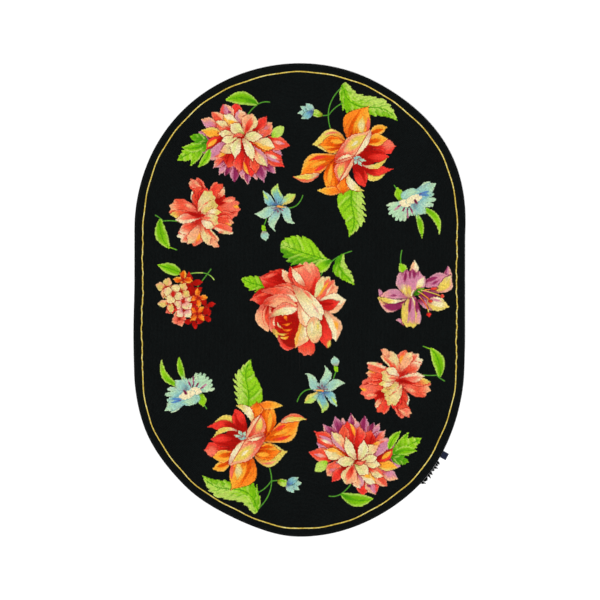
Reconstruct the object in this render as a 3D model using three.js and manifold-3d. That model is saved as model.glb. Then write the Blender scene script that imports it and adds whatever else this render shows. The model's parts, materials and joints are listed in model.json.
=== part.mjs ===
// Oval hooked rug: a looped pile field on its backing, a yarn-whipped edge, a plain folded
// ribbon tab and a few loose ends of the whipping yarn.
// Millimetres, +Z up. The rug lies on the plane z = 0 with the origin under the middle of its
// bounding box, its length along Y and its width along X.

import * as THREE from 'three';
import Module from 'manifold-3d';
import { mergeVertices } from 'three/addons/utils/BufferGeometryUtils.js';

// Oval: two straight sides joined by two nearly half-round ends.
const halfWidth = 629;
const halfLength = 900.5;
const straightHalf = 270;

// Pile field, measured from the oval's own edge.
const pileHeight = 8;
const pileWallTop = 5.4;
const pileShoulder = { inset: 1.7, height: 7.3 };
const pileCrownInset = 5;

// Whipped edge: yarn wrapped over the folded backing, right round the rug.
const whipWidth = 6.5;
const whipHeight = 6.6;
const whipFlatFrom = 1.6;
const whipFlatTo = 5.3;
const whipSideLow = 1.8;
const whipSideHigh = 4.4;
const whipRounding = 0.3;

// Folded ribbon tab, sewn in at the whipped edge.
const tab = { bearing: -47.3, width: 27, reach: 24, ribbon: 0.7, foldGap: 0.4 };

// Loose ends of whipping yarn, rooted in a narrow strand that runs along the edge.
const yarnThick = 3.4;
const yarnTipThick = 2.2;
const rootStrand = { fromBearing: -49.3, toBearing: -56.6, width: 3.2, stations: 10 };
const looseEnds = [
  { along: 0.04, reach: 12, lean: -38, curl: 34 },
  { along: 0.15, reach: 9, lean: 22, curl: -30 },
  { along: 0.25, reach: 14, lean: -12, curl: 46 },
  { along: 0.37, reach: 8, lean: 36, curl: -20 },
  { along: 0.48, reach: 12, lean: -30, curl: 25 },
  { along: 0.6, reach: 15, lean: 8, curl: -48 },
  { along: 0.72, reach: 10, lean: -24, curl: -22 },
  { along: 0.83, reach: 13, lean: 30, curl: 28 },
  { along: 0.95, reach: 15, lean: 47, curl: -26 },
];
const strandSteps = 5;

const seamGap = 0.3;          // clear space between neighbouring pieces
const edgeStations = 168;     // points along the rug's edge
const edgeSamples = 2880;     // fine steps that place those points evenly
const bearingStep = 0.2;      // degrees to each side when reading the edge's direction
const tabFoldSegments = 5;    // facets on half of the tab's fold
const weldDistance = 1e-4;    // points closer than this are one point

// Where the hand-cut edge bulges past the true oval (+) or is cut in (-), by bearing from +X; each
// place fades to nothing over its spread in degrees to either side.
const edgeBulges = [
  { bearing: 44, out: 14.5, spread: 26 },
  { bearing: 123, out: 4.5, spread: 28 },
  { bearing: 192, out: 4, spread: 20 },
  { bearing: 238, out: -12, spread: 20 },
  { bearing: 254, out: -16, spread: 16 },
  { bearing: 292, out: -3.5, spread: 20 },
  { bearing: 324, out: -7.5, spread: 24 },
];

const fullTurn = 360;

// How far the edge strays outside the true oval at a bearing.
function edgeStray(bearing) {
  return edgeBulges.reduce((sum, bulge) => {
    const turned = THREE.MathUtils.euclideanModulo(bearing - bulge.bearing, fullTurn);
    const away = Math.min(turned, fullTurn - turned) / bulge.spread;
    return away < 1 ? sum + bulge.out * (1 + Math.cos(Math.PI * away)) / 2 : sum;
  }, 0);
}

// Distance from the middle of the true oval to its edge along a unit direction.
function ovalRadius(cosine, sine) {
  const side = halfWidth / Math.abs(cosine);
  if (side * Math.abs(sine) <= straightHalf) return side;
  const capLength = halfLength - straightHalf;
  const a = (cosine / halfWidth) ** 2 + (sine / capLength) ** 2;
  const b = -2 * Math.abs(sine) * straightHalf / capLength ** 2;
  const c = (straightHalf / capLength) ** 2 - 1;
  return (-b + Math.sqrt(b * b - 4 * a * c)) / (2 * a);
}

// Point of the rug's edge at a bearing in degrees, before the rug is centred.
function rawEdgePoint(bearing) {
  const turn = THREE.MathUtils.degToRad(bearing);
  const cosine = Math.cos(turn);
  const sine = Math.sin(turn);
  const radius = ovalRadius(cosine, sine) + edgeStray(bearing);
  return new THREE.Vector2(radius * cosine, radius * sine);
}

// The middle of the edge's bounding box becomes the origin.
function edgeMiddle() {
  const box = new THREE.Box2();
  for (let i = 0; i < edgeSamples; i += 1) {
    box.expandByPoint(rawEdgePoint(i * fullTurn / edgeSamples));
  }
  return box.getCenter(new THREE.Vector2());
}

const middle = edgeMiddle();

// Point and outward normal of the edge at a bearing.
function edgeFrame(bearing) {
  const point = rawEdgePoint(bearing).sub(middle);
  const ahead = rawEdgePoint(bearing + bearingStep);
  const behind = rawEdgePoint(bearing - bearingStep);
  const along = ahead.sub(behind).normalize();
  return { point, out: new THREE.Vector2(along.y, -along.x) };
}

// Frames at equal distances along the whole edge, counter-clockwise.
function evenEdgeFrames(count) {
  const lengths = [0];
  let last = rawEdgePoint(0);
  for (let i = 1; i <= edgeSamples; i += 1) {
    const next = rawEdgePoint(i * fullTurn / edgeSamples);
    lengths.push(lengths[i - 1] + next.distanceTo(last));
    last = next;
  }
  const frames = [];
  let sample = 0;
  for (let i = 0; i < count; i += 1) {
    const wanted = lengths[edgeSamples] * i / count;
    while (lengths[sample + 1] < wanted) sample += 1;
    const share = (wanted - lengths[sample]) / (lengths[sample + 1] - lengths[sample]);
    frames.push(edgeFrame((sample + share) * fullTurn / edgeSamples));
  }
  return frames;
}

// Place that lies a distance outside a frame's edge point, at a height.
function besideEdge(frame, outside, height) {
  const place = frame.point.clone().addScaledVector(frame.out, outside);
  return new THREE.Vector3(place.x, place.y, height);
}

function meshGeometry(points, triangles) {
  const geometry = new THREE.BufferGeometry().setFromPoints(points);
  geometry.setIndex(triangles);
  return geometry;
}

// Walls between matching rings of points; each ring runs the same way round.
function ringWalls(ringCount, perRing, closedOverRings) {
  const triangles = [];
  const bands = closedOverRings ? ringCount : ringCount - 1;
  for (let ring = 0; ring < bands; ring += 1) {
    const here = ring * perRing;
    const next = ((ring + 1) % ringCount) * perRing;
    for (let i = 0; i < perRing; i += 1) {
      const j = (i + 1) % perRing;
      triangles.push(here + i, here + j, next + j);
      triangles.push(here + i, next + j, next + i);
    }
  }
  return triangles;
}

// A stack of rings closed by a flat face at each end; face is the first ring drawn flat.
function stackedRings(rings, face) {
  const perRing = rings[0].length;
  const triangles = ringWalls(rings.length, perRing, false);
  const top = (rings.length - 1) * perRing;
  for (const [a, b, c] of THREE.ShapeUtils.triangulateShape(face, [])) {
    triangles.push(a, c, b);
    triangles.push(top + a, top + b, top + c);
  }
  return meshGeometry(rings.flat(), triangles);
}

// The pile field: flat underside, upright wall and a rounded shoulder up to the level pile.
function pileFieldGeometry(frames) {
  const wallInset = -(whipWidth + seamGap);
  const levels = [
    { inset: 0, height: 0 },
    { inset: 0, height: pileWallTop },
    { inset: pileShoulder.inset, height: pileShoulder.height },
    { inset: pileCrownInset, height: pileHeight },
  ];
  const rings = levels.map((level) =>
    frames.map((frame) => besideEdge(frame, wallInset - level.inset, level.height)));
  return stackedRings(rings, rings[0].map((place) => new THREE.Vector2(place.x, place.y)));
}

// The whipped edge: a rounded roll with a flat underside that follows the whole edge.
function whippedEdgeGeometry(frames) {
  const section = [
    { outside: -whipFlatTo, height: 0 },
    { outside: -whipFlatFrom, height: 0 },
    { outside: 0, height: whipSideLow },
    { outside: 0, height: whipSideHigh },
    { outside: -whipFlatFrom, height: whipHeight - whipRounding },
    { outside: -whipWidth / 2, height: whipHeight },
    { outside: -whipFlatTo, height: whipHeight - whipRounding },
    { outside: -whipWidth, height: whipSideHigh + whipRounding },
    { outside: -whipWidth, height: whipSideLow - whipRounding },
  ];
  const points = frames.flatMap((frame) =>
    section.map((corner) => besideEdge(frame, corner.outside, corner.height)));
  const triangles = ringWalls(frames.length, section.length, true);
  return meshGeometry(points, triangles.reverse());
}

// The tab: one ribbon folded back on itself, its two ends against the whipped edge.
function tabGeometry() {
  const layer = tab.ribbon;
  const outer = layer + tab.foldGap / 2;
  const inner = tab.foldGap / 2;
  const foldCentre = tab.reach - outer;
  const quarter = Math.PI / 2;
  const profile = new THREE.Shape();
  profile.moveTo(0, 0);
  profile.lineTo(foldCentre, 0);
  profile.absarc(foldCentre, outer, outer, -quarter, quarter, false);
  profile.lineTo(0, 2 * outer);
  profile.lineTo(0, outer + inner);
  profile.lineTo(foldCentre, outer + inner);
  profile.absarc(foldCentre, outer, inner, quarter, -quarter, true);
  profile.lineTo(0, layer);
  const solid = new THREE.ExtrudeGeometry(profile, {
    depth: tab.width,
    bevelEnabled: false,
    curveSegments: tabFoldSegments,
  });
  return solid.translate(0, 0, -tab.width / 2).rotateX(quarter);
}

const unitSquare = [[0, 0], [1, 0], [1, 1], [0, 1]].map(([x, y]) => new THREE.Vector2(x, y));

// A strand lying on the floor along a path of plan points, four-sided with a level underside.
function strandGeometry(path, startThick, endThick) {
  const rings = path.map((here, i) => {
    const ahead = path[Math.min(i + 1, path.length - 1)];
    const behind = path[Math.max(i - 1, 0)];
    const travel = ahead.clone().sub(behind).normalize();
    const thick = THREE.MathUtils.lerp(startThick, endThick, i / (path.length - 1));
    const side = new THREE.Vector2(-travel.y, travel.x).multiplyScalar(thick / 2);
    const left = here.clone().add(side);
    const right = here.clone().sub(side);
    return [
      new THREE.Vector3(right.x, right.y, 0),
      new THREE.Vector3(left.x, left.y, 0),
      new THREE.Vector3(left.x, left.y, thick),
      new THREE.Vector3(right.x, right.y, thick),
    ];
  });
  return stackedRings(rings, unitSquare);
}

// One loose end: it leaves the root strand near the edge's normal and curls as it goes.
function looseEndPath(row) {
  const { fromBearing, toBearing, width } = rootStrand;
  const frame = edgeFrame(THREE.MathUtils.lerp(fromBearing, toBearing, row.along));
  const heading = Math.atan2(frame.out.y, frame.out.x) + THREE.MathUtils.degToRad(row.lean);
  const root = frame.point.clone().addScaledVector(frame.out, seamGap + width / 2);
  const path = [root];
  for (let step = 1; step < strandSteps; step += 1) {
    const share = step / (strandSteps - 1);
    const turned = heading + THREE.MathUtils.degToRad(row.curl) * share;
    const stride = new THREE.Vector2(Math.cos(turned), Math.sin(turned));
    stride.multiplyScalar(row.reach / (strandSteps - 1));
    path.push(path[step - 1].clone().add(stride));
  }
  return path;
}

function rootStrandPath() {
  const { fromBearing, toBearing, width, stations } = rootStrand;
  return Array.from({ length: stations }, (_, i) => {
    const frame = edgeFrame(THREE.MathUtils.lerp(fromBearing, toBearing, i / (stations - 1)));
    return frame.point.clone().addScaledVector(frame.out, seamGap + width / 2);
  });
}

const wasm = await Module();
wasm.setup();

function toManifold(geometry) {
  const bare = geometry.clone();
  bare.deleteAttribute('normal');
  bare.deleteAttribute('uv');
  const merged = mergeVertices(bare, weldDistance);
  return new wasm.Manifold(new wasm.Mesh({
    numProp: 3,
    vertProperties: new Float32Array(merged.attributes.position.array),
    triVerts: new Uint32Array(merged.index.array),
  }));
}

function fromManifold(solid) {
  const mesh = solid.getMesh();
  const geometry = new THREE.BufferGeometry();
  geometry.setAttribute('position', new THREE.BufferAttribute(mesh.vertProperties, 3));
  geometry.setIndex(new THREE.BufferAttribute(mesh.triVerts, 1));
  return geometry;
}

// All the loose ends, joined at their roots by the strand along the edge.
function looseYarnGeometry() {
  const root = strandGeometry(rootStrandPath(), rootStrand.width, rootStrand.width);
  let joined = toManifold(root);
  for (const row of looseEnds) {
    joined = joined.add(toManifold(strandGeometry(looseEndPath(row), yarnThick, yarnTipThick)));
  }
  return fromManifold(joined);
}

// Dull wool and matt cotton: rough and never metallic.
function yarnMaterial(colour) {
  return new THREE.MeshStandardMaterial({ color: colour, roughness: 0.95, metalness: 0 });
}

function piece(name, geometry, material) {
  const mesh = new THREE.Mesh(geometry, material);
  mesh.name = name;
  return mesh;
}

const frames = evenEdgeFrames(edgeStations);
const tabFrame = edgeFrame(tab.bearing);

const ribbonTab = piece('ribbon_tab', tabGeometry(), yarnMaterial(0x23284a));
const tabRoot = besideEdge(tabFrame, seamGap, 0);
ribbonTab.position.copy(tabRoot);
ribbonTab.rotation.z = Math.atan2(tabFrame.out.y, tabFrame.out.x);

const rug = new THREE.Group();
rug.name = 'hooked_rug';
rug.add(
  piece('pile_field', pileFieldGeometry(frames), yarnMaterial(0x121514)),
  piece('whipped_edge', whippedEdgeGeometry(frames), yarnMaterial(0x0d0f10)),
  ribbonTab,
  piece('loose_yarn_ends', looseYarnGeometry(), yarnMaterial(0x0f1112)),
);

export default rug;
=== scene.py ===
import json
import math

import bpy
import numpy as np
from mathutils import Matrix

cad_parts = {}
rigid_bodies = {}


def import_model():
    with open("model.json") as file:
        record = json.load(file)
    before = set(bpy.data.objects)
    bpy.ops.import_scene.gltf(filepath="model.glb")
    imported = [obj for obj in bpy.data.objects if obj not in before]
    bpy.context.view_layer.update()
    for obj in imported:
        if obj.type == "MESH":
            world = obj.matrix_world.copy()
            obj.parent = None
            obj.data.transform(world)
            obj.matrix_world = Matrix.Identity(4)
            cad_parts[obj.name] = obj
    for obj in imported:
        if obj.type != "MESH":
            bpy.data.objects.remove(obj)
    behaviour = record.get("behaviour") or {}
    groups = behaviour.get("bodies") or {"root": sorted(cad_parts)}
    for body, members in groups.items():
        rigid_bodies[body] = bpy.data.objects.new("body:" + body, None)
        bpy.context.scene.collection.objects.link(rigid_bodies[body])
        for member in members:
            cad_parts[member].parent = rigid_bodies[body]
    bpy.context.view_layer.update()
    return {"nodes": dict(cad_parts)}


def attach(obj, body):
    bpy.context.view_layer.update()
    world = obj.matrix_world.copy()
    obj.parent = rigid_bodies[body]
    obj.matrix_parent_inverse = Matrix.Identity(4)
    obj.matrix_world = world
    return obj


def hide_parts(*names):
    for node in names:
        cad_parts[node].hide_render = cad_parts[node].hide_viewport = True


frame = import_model()
print("frame loaded:", ", ".join(sorted(frame["nodes"])))

mm = 0.001
seeds = {"chartPlaces": 40, "petalShades": 200, "flowerLoops": 300, "groundPlaces": 11, "groundLoops": 70,
         "goldPlaces": 23, "goldLoops": 90, "whipping": 5, "looseEnds": 31}


def hexToRgb(text):
    return [int(text[i:i + 2], 16) / 255 for i in (0, 2, 4)]


def toLinear(colour):
    colour = np.clip(np.asarray(colour, float), 0, 1)
    return np.where(colour <= .04045, colour / 12.92, ((colour + .055) / 1.055) ** 2.4)


def linearHex(text):
    return (*toLinear(hexToRgb(text)), 1)


def addNode(tree, kind, settings=None, values=None, links=None):
    node = tree.nodes.new(kind)
    for name, value in (settings or {}).items():
        setattr(node, name, value)
    for socket, value in (values or {}).items():
        node.inputs[socket].default_value = value
    for socket, source in (links or {}).items():
        tree.links.new(source, node.inputs[socket])
    return node


def newMaterial(name):
    material = bpy.data.materials.new(name)
    material.use_nodes = True
    tree = material.node_tree
    return material, tree, tree.nodes["Principled BSDF"]


def newObject(name, vertices, faces):
    mesh = bpy.data.meshes.new(name)
    mesh.from_pydata([tuple(map(float, v)) for v in vertices], [], [tuple(map(int, f)) for f in faces])
    mesh.update()
    thing = bpy.data.objects.new(name, mesh)
    bpy.context.scene.collection.objects.link(thing)
    return thing


# Four-cornered faces between two rings of points; each ring is known by its first point's number.
def bandFaces(first, second, count):
    turns = [(i, (i + 1) % count) for i in range(count)]
    return [(first + i, second + i, second + after, first + after) for i, after in turns]


def meshPoints(mesh):
    places = np.zeros(len(mesh.vertices) * 3)
    mesh.vertices.foreach_get("co", places)
    return places.reshape(-1, 3)


def cornerVertices(mesh):
    corners = np.zeros(len(mesh.loops), int)
    mesh.loops.foreach_get("vertex_index", corners)
    return corners


def faceNumbers(mesh, name):
    numbers = np.zeros(len(mesh.polygons), int)
    mesh.polygons.foreach_get(name, numbers)
    return numbers


def smoothFaces(thing):
    thing.data.polygons.foreach_set("use_smooth", [True] * len(thing.data.polygons))
    thing.data.update()


def setMap(thing, perCorner, name="OFBake"):
    layer = thing.data.uv_layers.new(name=name)
    layer.data.foreach_set("uv", np.asarray(perCorner, np.float32).ravel())
    return layer


# Places on the floor plan as shares of the box round a piece, with a bare margin all round.
def boxShare(flat, places, margin):
    low = places.min(0)
    return margin + (1 - 2 * margin) * (flat - low) / (places.max(0) - low)


def selectOnly(things):
    bpy.ops.object.select_all(action="DESELECT")
    for thing in things:
        thing.select_set(True)
    bpy.context.view_layer.objects.active = things[0]


def editAll(thing, tool, **settings):
    selectOnly([thing])
    bpy.ops.object.mode_set(mode="EDIT")
    bpy.ops.mesh.select_all(action="SELECT")
    tool(**settings)
    bpy.ops.object.mode_set(mode="OBJECT")


def fixNormals(thing):
    editAll(thing, bpy.ops.mesh.normals_make_consistent, inside=False)


def mapByFace(thing):
    thing.data.uv_layers.active = thing.data.uv_layers.new(name="OFBake")
    editAll(thing, bpy.ops.uv.smart_project, angle_limit=math.radians(60), island_margin=.01)


def joinPieces(name, things):
    selectOnly(things)
    if len(things) > 1:
        bpy.ops.object.join()
    piece = bpy.context.view_layer.objects.active
    piece.name = name
    piece.data.name = name
    return piece


# Straight above the rug, far enough back that the whole oval sits in the frame.
view = {"lens": 85, "sensor": 36, "height": 5.391, "aimX": .0021, "aimY": 0}
light = {"sky": .74, "sunStrength": 1.78, "sunAngle": 50, "sunTilt": (24, -18, 0)}
floor = {"paper": "fdfdfd", "roughness": .9, "gloss": 0, "size": 60}


def makeView():
    data = bpy.data.cameras.new("overheadCamera")
    data.lens = view["lens"]
    data.sensor_width = view["sensor"]
    camera = bpy.data.objects.new("overheadCamera", data)
    camera.location = (view["aimX"], view["aimY"], view["height"])
    bpy.context.scene.collection.objects.link(camera)
    bpy.context.scene.camera = camera


def makeLight():
    world = bpy.data.worlds.new("studioSky")
    world.use_nodes = True
    world.node_tree.nodes["Background"].inputs["Color"].default_value = (1, 1, 1, 1)
    world.node_tree.nodes["Background"].inputs["Strength"].default_value = light["sky"]
    bpy.context.scene.world = world
    sun = bpy.data.lights.new("softSun", "SUN")
    sun.energy = light["sunStrength"]
    sun.angle = math.radians(light["sunAngle"])
    lamp = bpy.data.objects.new("softSun", sun)
    lamp.rotation_euler = [math.radians(a) for a in light["sunTilt"]]
    bpy.context.scene.collection.objects.link(lamp)
    bpy.context.scene.view_settings.view_transform = "Standard"


def makeFloor():
    half = floor["size"] / 2
    corners = [(-half, -half, 0), (half, -half, 0), (half, half, 0), (-half, half, 0)]
    sheet = newObject("studioFloor", corners, [(0, 1, 2, 3)])
    material, _, shader = newMaterial("paperFloor")
    shader.inputs["Base Color"].default_value = linearHex(floor["paper"])
    shader.inputs["Roughness"].default_value = floor["roughness"]
    shader.inputs["Specular IOR Level"].default_value = floor["gloss"]
    sheet.data.materials.append(material)


makeView()
makeLight()
makeFloor()
print("camera, light and floor made")


# A place along the edge is a station from 0 to 4: right side, top round, left side, bottom round.
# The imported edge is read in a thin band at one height. fadeOver is the inset at which its own waves
# have died out. A heading is taken to a point lookAhead further on, or besideBearing degrees to each
# side of a bearing.
straightHalf = 270
edge = {"height": 1.8, "band": .05, "fadeOver": 420, "waverSeed": 1.7, "lookAhead": 2, "besideBearing": .4,
        "lineSteps": 6000, "shareSteps": 4000, "bearingSteps": 16000}


def stationOf(x, y):
    turn = np.arctan2(np.where(y > 0, y - straightHalf, y + straightHalf), x)
    length = 2 * straightHalf
    side = np.where(x > 0, (y + straightHalf) / length, 2 + (straightHalf - y) / length)
    end = np.where(y > 0, 1 + turn / math.pi, 3 + (turn + math.pi) / math.pi)
    return np.where(np.abs(y) <= straightHalf, side, end)


# The height on the rug's middle line that a station is measured from, and its direction from there.
def spineAt(station):
    part = station % 4
    along = part % 1
    quarter = [part < 1, part < 2, part < 3]
    rise = (2 * along - 1) * straightHalf
    footY = np.select(quarter, [rise, straightHalf, -rise], -straightHalf)
    turn = np.select(quarter, [0, along * math.pi, math.pi], math.pi + along * math.pi)
    return footY, np.cos(turn), np.sin(turn)


def readEdge():
    points = meshPoints(frame["nodes"]["whipped_edge"].data) / mm
    points = points[np.abs(points[:, 2] - edge["height"]) < edge["band"]]
    points = np.unique(np.round(points[:, :2], 2), axis=0)
    station = stationOf(points[:, 0], points[:, 1])
    footY, _, _ = spineAt(station)
    reach = np.hypot(points[:, 0], points[:, 1] - footY)
    order = np.argsort(station)
    return station[order], reach[order]


edgeStations, edgeReaches = readEdge()
meanReach = float(np.mean(edgeReaches))
print("edge read at", len(edgeStations), "places")


def edgeReach(station):
    return np.interp(station % 4, edgeStations, edgeReaches, period=4)


# The maker's unsteady hand: three waves of different lengths that close on themselves round the rug.
def waver(station, seed):
    turn = station * math.pi / 2
    fine = np.sin(23 * turn + 2 * seed) + np.sin(57 * turn + 3 * seed)
    return .4 * np.sin(9 * turn + seed) + .3 * fine


# Line that keeps a distance inside the edge; the edge's own waves fade out towards the middle.
def insetLine(station, inset, sway=0):
    own = (edgeReach(station) - meanReach) * max(0, 1 - inset / edge["fadeOver"])
    reach = meanReach - inset + own + sway * waver(station, edge["waverSeed"])
    footY, cosine, sine = spineAt(station)
    return np.stack([reach * cosine, footY + reach * sine], 1)


# Distance gone at each point of a line.
def travelAlong(line):
    return np.concatenate([[0], np.cumsum(np.hypot(*np.diff(line, axis=0).T))])


def pointsAt(wanted, travelled, line):
    return np.stack([np.interp(wanted, travelled, line[:, i]) for i in (0, 1)], 1)


# Evenly spaced places on such a line, with the line's heading and station at each.
def placesOnLine(inset, pitch, start, sway=0):
    station = np.linspace(0, 4, edge["lineSteps"] + 1)
    line = insetLine(station, inset, sway)
    travelled = travelAlong(line)
    count = max(6, int(round(travelled[-1] / pitch)))
    wanted = (np.arange(count) + start) / count * travelled[-1]
    places = pointsAt(wanted, travelled, line)
    heading = pointsAt((wanted + edge["lookAhead"]) % travelled[-1], travelled, line) - places
    return places, np.arctan2(heading[:, 1], heading[:, 0]), np.interp(wanted, travelled, station)


# Stations that part the edge into equal lengths.
def evenStations(count):
    _, _, station = placesOnLine(0, 1, 0)
    line = insetLine(station, 0)
    travelled = travelAlong(np.vstack([line, line[:1]]))
    return np.interp(np.arange(count) / count * travelled[-1], travelled[:-1], station)


# Share of the way round that a station has come.
def alongEdge(station):
    sample = np.linspace(0, 4, edge["shareSteps"] + 1)
    travelled = travelAlong(insetLine(sample, 0))
    return np.interp(station % 4, sample, travelled / travelled[-1])


# The place on the edge at a bearing from the rug's middle, and the way straight out of the rug there.
def edgeAtBearing(bearing):
    line = insetLine(np.linspace(0, 4, edge["bearingSteps"] + 1)[:-1], 0)
    turns = np.degrees(np.arctan2(line[:, 1], line[:, 0]))
    order = np.argsort(turns)
    wanted = (bearing, bearing + edge["besideBearing"], bearing - edge["besideBearing"])
    spot, ahead, behind = pointsAt(wanted, turns[order], line[order])
    way = (ahead - behind) / np.hypot(*(ahead - behind))
    return spot, np.array([way[1], -way[0]])


# Each flower is drafted on squared paper: x across, y up, one square is chartSquare wide. A shape
# runs from x0 y0 to x1 y1. girth is its full width, bow bends it, a number after a slash sways it, and
# belly is where it is widest. ramp is its yarns from root to tip, and left, right and mark are yarns
# laid over them; a dot is no yarn.
chartSquare = 3.8
plainRow = {"bow": 0, "sway": 0, "belly": .5, "left": ".", "right": ".", "mark": "."}
# Sizes in squares, scallops in degrees, and strengths from 0 to 1. A strand's shade and a rim's wave
# change every dash. Loops are looked for up to spare squares round a shape and clear squares round a
# flower.
stroke = {"strand": .85, "dash": 4, "waver": .07, "tooth": 6.5, "toothDepth": .2, "toothVary": .22,
          "toothSlant": .5, "scallop": 22, "scallopDepth": .2, "scallopVary": .1, "sideLaid": .9,
          "markLaid": .85, "bladeLaid": .8, "veinLaid": .75, "veinShade": .55, "rim": .26,
          "rootShade": (.1, .26, .24), "lineWidth": .75, "lineKeep": .43, "lineLaid": .5, "spare": 4,
          "clear": 13}
floretPetal = {"bow": .04, "belly": .54}
floretEye = {"tall": 1.2, "wide": .8}
# Shapes whose ramp starts with one of these yarns are parted by a line of their own.
ownLine = {"blue": "slate", "deep": "garnet"}
yarnHex = {
    "deep": "b0120b", "red": "d0241a", "scarlet": "e83c30", "coral": "e8583c", "salmon": "ea745a",
    "peach": "edae80", "cream": "e3d296", "ivory": "ece0b8", "butter": "e2ca5c", "straw": "dedb98",
    "wheat": "dac26c", "gold": "f2ae36", "orange": "f68d24", "burnt": "d95606", "rose": "d089a2",
    "blush": "e8aa9a", "plum": "962c5b", "wine": "76193f", "ice": "a0cabc", "sky": "80b9be",
    "blue": "5788c0", "mint": "b6d6b2", "lime": "95cb1d", "leaf": "79b90f", "moss": "4c990c",
    "pine": "33740f", "pear": "bfd766", "stalk": "57a030", "garnet": "9c1c12", "slate": "3c6468",
}
yarns = {name: np.array(hexToRgb(text)) for name, text in yarnHex.items()}


def readTable(text):
    lines = text.strip().splitlines()
    return [dict(zip(lines[0].split(), line.split())) for line in lines[1:]]


def readChart(text):
    rows = []
    for found in readTable(text):
        row = {**plainRow, **found}
        bend = row["bow"].split("/")
        row["bow"] = bend[0]
        row["sway"] = bend[1] if len(bend) > 1 else 0
        for name in ("x0", "y0", "x1", "y1", "girth", "bow", "sway", "belly"):
            row[name] = float(row[name])
        rows.append(row)
    return rows


# A floret is four petals round an eye.
def floretRows(text):
    rows = []
    for floret in readTable(text):
        x, y, reach, girth, turn = (float(floret[name]) for name in ("x", "y", "reach", "girth", "turn"))
        size = float(floret["size"])
        for quarter in range(4):
            aim = math.radians(turn + 90 * quarter)
            rows.append({**plainRow, **floretPetal, "kind": "petal", "x0": x, "y0": y,
                         "x1": x + reach * math.cos(aim), "y1": y + reach * math.sin(aim), "girth": girth,
                         "ramp": floret["ramp"], "right": floret["rim"]})
        tall = size * floretEye["tall"] / 2
        rows.append({**plainRow, "kind": "petal", "x0": x, "y0": y - tall, "x1": x, "y1": y + tall,
                     "girth": size * floretEye["wide"], "ramp": floret["eye"]})
    return rows


def rowReach(row):
    return math.hypot(row["x1"] - row["x0"], row["y1"] - row["y0"])


# A number from -1 to 1 that looks random and is always the same for the same strand.
def strandNoise(number, seed):
    return np.modf(np.sin(number * 12.9898 + seed * 78.233) * 43758.5453)[0]


# The same, rolling smoothly from one whole number to the next.
def rollingNoise(place, seed):
    low = np.floor(place)
    part = place - low
    part = part * part * (3 - 2 * part)
    return strandNoise(low, seed) * (1 - part) + strandNoise(low + 1, seed) * part


def smooth(low, high, value):
    share = np.clip((value - low) / (high - low), 0, 1)
    return share * share * (3 - 2 * share)


def rampColour(names, share):
    stops = np.array([yarns[name] for name in names.split("-")])
    if len(stops) == 1:
        return np.repeat(stops, len(share), 0)
    spot = np.clip(share, 0, 1) * (len(stops) - 1)
    low = np.minimum(spot.astype(int), len(stops) - 2)
    part = smooth(0, 1, spot - low)[:, None]
    return stops[low] * (1 - part) + stops[low + 1] * part


# Half width of each kind of shape, as a share of half its girth, from root 0 to tip 1.
def halfShare(row, order, along, across, reach):
    belly = row["belly"]
    swell = np.abs(np.sin(math.pi * along ** (math.log(.5) / math.log(belly))))
    ripple = rollingNoise(along * reach / stroke["dash"] + 9 * np.sign(across), order)
    wave = 1 + stroke["waver"] * ripple
    if row["kind"] == "stem":
        return np.ones(len(along))
    if row["kind"] == "round":
        return swell ** .5
    if row["kind"] in ("petal", "streak"):
        return swell ** (.5 + along) * wave
    if row["kind"] == "frill":
        rising = np.sin(math.pi / 2 * np.minimum(along / belly, 1)) ** .9
        past = np.maximum(along - belly, 0) / (1 - belly)
        return np.where(along < belly, rising, np.sqrt(np.clip(1 - past ** 2.6, 0, 1))) * wave
    if row["kind"] == "blade":
        return swell ** (.6 + .45 * along)
    # Saw teeth of a leaf: each one swells forward and is cut back to a slanting notch.
    tooth = (along * reach - stroke["toothSlant"] * np.abs(across)) / stroke["tooth"]
    tooth = tooth + 3.4 * np.sign(across)
    depth = stroke["toothDepth"] + stroke["toothVary"] * strandNoise(np.floor(tooth), order + 3)
    depth = depth * smooth(.02, .2, along)
    taper = along if belly < .62 else 1 - along
    return swell ** (.5 + .55 * taper) * (1 - depth + 1.35 * depth * (tooth - np.floor(tooth)) ** 1.2)


# A fan opens from its root and ends in scallops. For each place: how far along it is, how far
# across, its share of the half width there, the yarn's run, if it is inside, and its gap if not.
def fitFan(row, order, px, py):
    dx, dy, reach = row["x1"] - row["x0"], row["y1"] - row["y0"], rowReach(row)
    far = np.hypot(px, py)
    swing = np.arctan2(dx * py - dy * px, dx * px + dy * py)
    half = math.radians(row["girth"]) / 2
    spread = (swing / half + 1) * row["girth"] / stroke["scallop"]
    number = np.floor(spread)
    notch = stroke["scallopDepth"] * (np.abs(spread - number - .5) * 2) ** 2.5
    limit = reach * (1 - notch + stroke["scallopVary"] * strandNoise(number, order))
    along = far / limit
    side = swing / half
    inside = (np.abs(side) < 1) & (along < 1)
    gap = np.maximum(far - limit, np.abs(swing * far) - half * far)
    return along, swing * far, side, np.arctan2(py, px), inside, gap


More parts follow.
